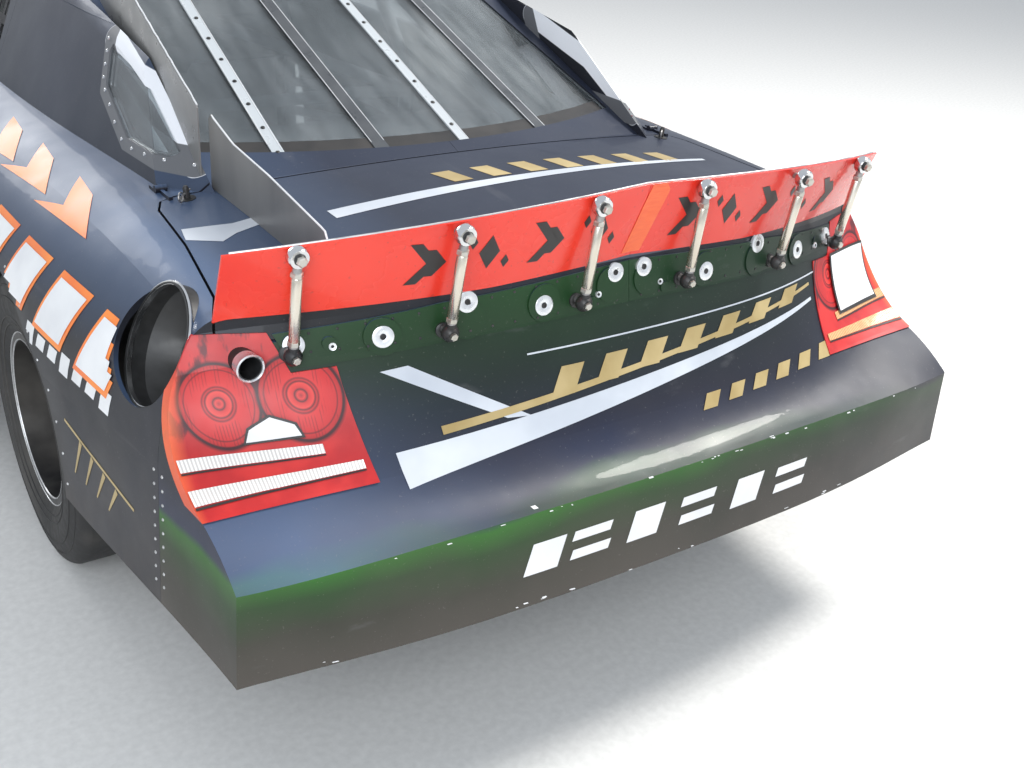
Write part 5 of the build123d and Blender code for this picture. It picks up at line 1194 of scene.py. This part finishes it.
shifter = Shape()
shifter.tube([(0.0, -0.12, 0.478), (0.01, -0.13, 0.60), (0.03, -0.10, 0.70)], 0.008, 10)
knob = [(0.010, 0), (0.022, 0.012), (0.024, 0.028), (0.016, 0.042)]
boot = [(0.055, -0.001), (0.050, 0.010), (0.022, 0.045), (0.012, 0.060)]
shifter.turned((0.03, -0.10, 0.69), (0.1, 0.15, 1), knob, 20)
shifter.turned((0.0, -0.12, 0.480), UP, boot, 24)
shifter.piece("gear_lever", "black_metal")
BOTTLE_Y, BOTTLE_Z = 0.52, 0.275
Shape().turned((-0.30, BOTTLE_Y, BOTTLE_Z), (1, 0, 0), [
    (0.030, 0), (0.058, 0.020), (0.058, 0.300), (0.030, 0.325), (0.014, 0.345),
], 28).piece("extinguisher_bottle", "engine_red")
bottle_bands = Shape()
for x in (-0.24, -0.06):
    bottle_bands.turned((x, BOTTLE_Y, BOTTLE_Z), (1, 0, 0), [
        (0.0582, 0), (0.0605, 0), (0.0605, 0.022), (0.0582, 0.022),
    ], 28, True)
    bottle_bands.block((x + 0.011, BOTTLE_Y, 0.212), (0.030, 0.110, 0.012))
bottle_bands.piece("bottle_bands", "steel")


# Engine bay

covers, heads, pulleys, headers = Shape(), Shape(), Shape(), Shape()
for side in (1, -1):
    lean = Matrix.Rotation(radians(side * 38), 3, "Y")
    covers.block((side * 0.205, -1.400, 0.730), (0.110, 0.520, 0.060), lean)
    heads.block((side * 0.190, -1.400, 0.690), (0.150, 0.560, 0.060), lean)
    for step in range(5):
        place = Vector((side * 0.205, -1.62 + step * 0.11, 0.730)) + lean @ Vector((0, 0, 0.030))
        heads.hex(place, lean @ Vector((0, 0, 1)), 0.014, 0.010)
    for step in range(4):
        y = -1.62 + step * 0.145
        headers.tube([
            (side * 0.275, y, 0.640), (side * 0.330, y + 0.005, 0.630), (side * 0.365, y + 0.02, 0.560),
            (side * 0.360, y * 0.6 - 0.50, 0.420), (side * 0.300, -1.150, 0.300), (side * 0.240, -1.090, 0.240),
        ], 0.022, 12)
filter_pan = Shape().turned((0, -1.400, 0.7205), UP, [
    (0.060, 0), (0.070, 0.040), (0.175, 0.048), (0.180, 0.052), (0.175, 0.056),
], 40)
filter_pan.turned((0, -1.400, 0.770), UP, [(0.168, 0.005), (0.168, 0.046)], 56)
filter_lid = Shape().turned((0, -1.400, 0.816), UP, [
    (0.180, 0), (0.182, 0.004), (0.176, 0.009), (0.030, 0.016), (0.010, 0.016),
], 48)
filter_lid.hex((0, -1.400, 0.832), UP, 0.022, 0.010)
# Columns: x; z; radius; depth
PULLEYS = [
    (0, 0.360, 0.085, 0.040), (0, 0.560, 0.065, 0.034), (0.170, 0.470, 0.045, 0.030),
    (-0.165, 0.520, 0.050, 0.030),
]
for x, z, radius, depth in PULLEYS:
    pulleys.turned((x, -1.718, z), (0, -1, 0), [
        (radius, 0), (radius, 0.006), (radius - 0.012, depth * 0.5), (radius, depth - 0.006), (radius, depth),
        (0.02, depth + 0.006),
    ], 36)
covers.piece("valve_covers", "engine_red", bevel=0.012)
heads.piece("cylinder_heads", "cast_iron", bevel=0.004)
filter_pan.piece("air_filter", "border_grey")
filter_lid.piece("air_filter_lid", "chrome")
pulleys.piece("belt_pulleys", "bare_aluminium")
headers.piece("exhaust_headers", "steel")
cooling = Shape()
for x in (-0.327, 0.327):
    cooling.block((x, -2.080, 0.475), (0.040, 0.066, 0.292))
cooling.turned((0.25, -2.080, 0.620), UP, [
    (0.026, -0.002), (0.026, 0.012), (0.034, 0.013), (0.034, 0.022), (0.014, 0.028),
], 28)
cooling.piece("radiator_tanks", "bare_aluminium", bevel=0.006)
Shape().tube([
    (0.250, -2.045, 0.560), (0.250, -1.985, 0.565), (0.205, -1.90, 0.60), (0.120, -1.80, 0.65),
    (0.100, -1.735, 0.660),
], 0.021, 14).piece("coolant_pipe", "black_rubber")


# Nose, hood and windshield

NOSE = surface("nose_cover", "left_fender", "right_fender")
HOOD = surface("hood")
SCREEN = surface("windshield")
HEADLAMP = [(0.420, 0.470), (0.800, 0.500), (0.870, 0.560), (0.780, 0.570), (0.440, 0.528)]
HEADLAMP_GLASS = [(0.440, 0.478), (0.790, 0.508), (0.845, 0.553), (0.775, 0.560), (0.452, 0.520)]
HEADLAMP_RINGS = [(0.540, 0.506, 0.017), (0.690, 0.522, 0.020)]
for side, mark in ((1, "left"), (-1, "right")):
    print_group(f"headlamp_edge_{mark}", "decal_black", NOSE, "nose", [[(side * x, z) for x, z in HEADLAMP]])
    print_group(f"headlamp_glass_{mark}", "decal_silver", NOSE, "nose", [
        [(side * x, z) for x, z in HEADLAMP_GLASS],
    ], lift=0.0014)
    print_group(f"headlamp_rings_{mark}", "decal_black", NOSE, "nose", [
        half for x, z, radius in HEADLAMP_RINGS for half in ring(side * x, z, radius, radius * 0.8)
    ], lift=0.0019, step=0.02)
HOOD_BAR = [(0.36, -2.12), (0.16, -2.15), (0.10, -1.50), (0.05, -1.10), (0.22, -1.45)]
HOOD_BAR_CORE = [(0.31, -2.10), (0.21, -2.12), (0.13, -1.55), (0.10, -1.35), (0.20, -1.60)]
print_group("hood_bars", "decal_orange", HOOD, "top", [
    [(side * x, y) for x, y in HOOD_BAR] for side in (1, -1)
], "hood_body", step=0.05)
print_group("hood_bar_cores", "decal_yellow", HOOD, "top", [
    [(side * x, y) for x, y in HOOD_BAR_CORE] for side in (1, -1)
], "hood_body", lift=0.0014, step=0.05)
hood_pins, hood_clips = Shape(), Shape()
for place in ((0.62, -2.06), (0.22, -2.16), (-0.22, -2.16), (-0.62, -2.06)):
    panel_pin(hood_pins, hood_clips, HOOD, place, (0.024, 0.019), Vector((1, 0, 0)))
hood_pins.piece("hood_pins", "steel", "hood_body")
hood_clips.piece("hood_pin_clips", "black_metal", "hood_body")
print_group("windshield_braces", "clear_strip", SCREEN, "top", [
    bar((x * 1.10, -0.78), (x * 0.92, -0.24), 0.022, 0.022) for x in (-0.22, 0.22)
], step=0.04)
# Roof: flap seams, rivets and bars
ROOF = surface("roof_panel")
flaps = []
for side in (1, -1):
    corners = [(side * 0.10, 0.30), (side * 0.46, 0.42), (side * 0.40, 0.62), (side * 0.06, 0.52)]
    flaps += [bar(corners[k], corners[(k + 1) % 4], 0.004, 0.004) for k in range(4)]
print_group("roof_flap_seams", "decal_black", ROOF, "top", flaps, lift=0.0006, step=0.04)
roof_rivets = Shape()
for side in (1, -1):
    row = [(side * 0.515, -0.10 + step * 0.05) for step in range(18)]
    rivets_at(roof_rivets, ROOF, "top", row, SEAM_RIVET)
roof_rivets.piece("roof_rivets", "bare_aluminium")
print_group("roof_bars", "decal_white", ROOF, "top", [
    slanted(-0.12 + step * 0.12, 0.08, 0.06, 0.20, 0.03) for step in range(3)
], step=0.04)


# Floor, light and camera

def stage_floor():
    mesh = bpy.data.meshes.new("floor")
    corners = [(x * FLOOR_REACH, y * FLOOR_REACH, 0) for x, y in ((-1, -1), (1, -1), (1, 1), (-1, 1))]
    mesh.from_pydata(corners, [], [(0, 1, 2, 3)])
    made = Finish("floor")
    grain = made.noise(55.0, 4.0)
    colour = made.mix(made.span(grain, 0.3, 0.7), (0.62, 0.62, 0.61), (0.70, 0.70, 0.69))
    made.done(colour, made.grade(grain, 0.80, 0.95))
    mesh.materials.append(made.material)
    holder = bpy.data.objects.new("floor", mesh)
    bpy.context.scene.collection.objects.link(holder)


def lamp(name, place, target, size, power, colour=(1, 1, 1)):
    data = bpy.data.lights.new(name, "AREA")
    data.shape = "DISK"
    data.size = size
    data.energy = power
    data.color = colour
    holder = bpy.data.objects.new(name, data)
    bpy.context.scene.collection.objects.link(holder)
    holder.location = place
    away = Vector(target) - Vector(place)
    holder.rotation_euler = away.to_track_quat("-Z", "Y").to_euler()


def camera():
    yaw, pitch, roll = radians(CAMERA_YAW), radians(CAMERA_PITCH), radians(CAMERA_ROLL)
    forward = Vector((sin(yaw) * cos(pitch), -cos(yaw) * cos(pitch), -sin(pitch)))
    level = forward.cross(Vector((0, 0, 1))).normalized()
    rise = level.cross(forward)
    right = cos(roll) * level + sin(roll) * rise
    up = -sin(roll) * level + cos(roll) * rise
    data = bpy.data.cameras.new("camera")
    data.sensor_width = SENSOR_WIDTH
    data.lens = FOCAL_PIXELS * SENSOR_WIDTH / PICTURE_WIDTH
    data.clip_end = 60
    holder = bpy.data.objects.new("camera", data)
    bpy.context.scene.collection.objects.link(holder)
    holder.matrix_world = Matrix((
        (right.x, up.x, -forward.x, CAMERA_AT[0]), (right.y, up.y, -forward.y, CAMERA_AT[1]),
        (right.z, up.z, -forward.z, CAMERA_AT[2]), (0, 0, 0, 1),
    ))
    bpy.context.scene.camera = holder


stage_floor()
lamp("key", (-4.5, 2.5, 6.0), (0, 1.0, 0.6), 2.0, 620, (1.0, 0.97, 0.92))
lamp("rear_fill", (3.5, 6.5, 3.5), (0, 1.8, 0.6), 4.0, 260, (0.92, 0.96, 1.0))
lamp("front_fill", (1.5, -7.0, 4.0), (0, -1.5, 0.5), 4.0, 240)
camera()
world = bpy.data.worlds.new("studio")
bpy.context.scene.world = world
world.use_nodes = True
backdrop = world.node_tree.nodes["Background"]
backdrop.inputs["Color"].default_value = (0.88, 0.93, 1.0, 1)
backdrop.inputs["Strength"].default_value = 0.75
bpy.context.scene.view_settings.view_transform = "Standard"

bpy.context.view_layer.update()
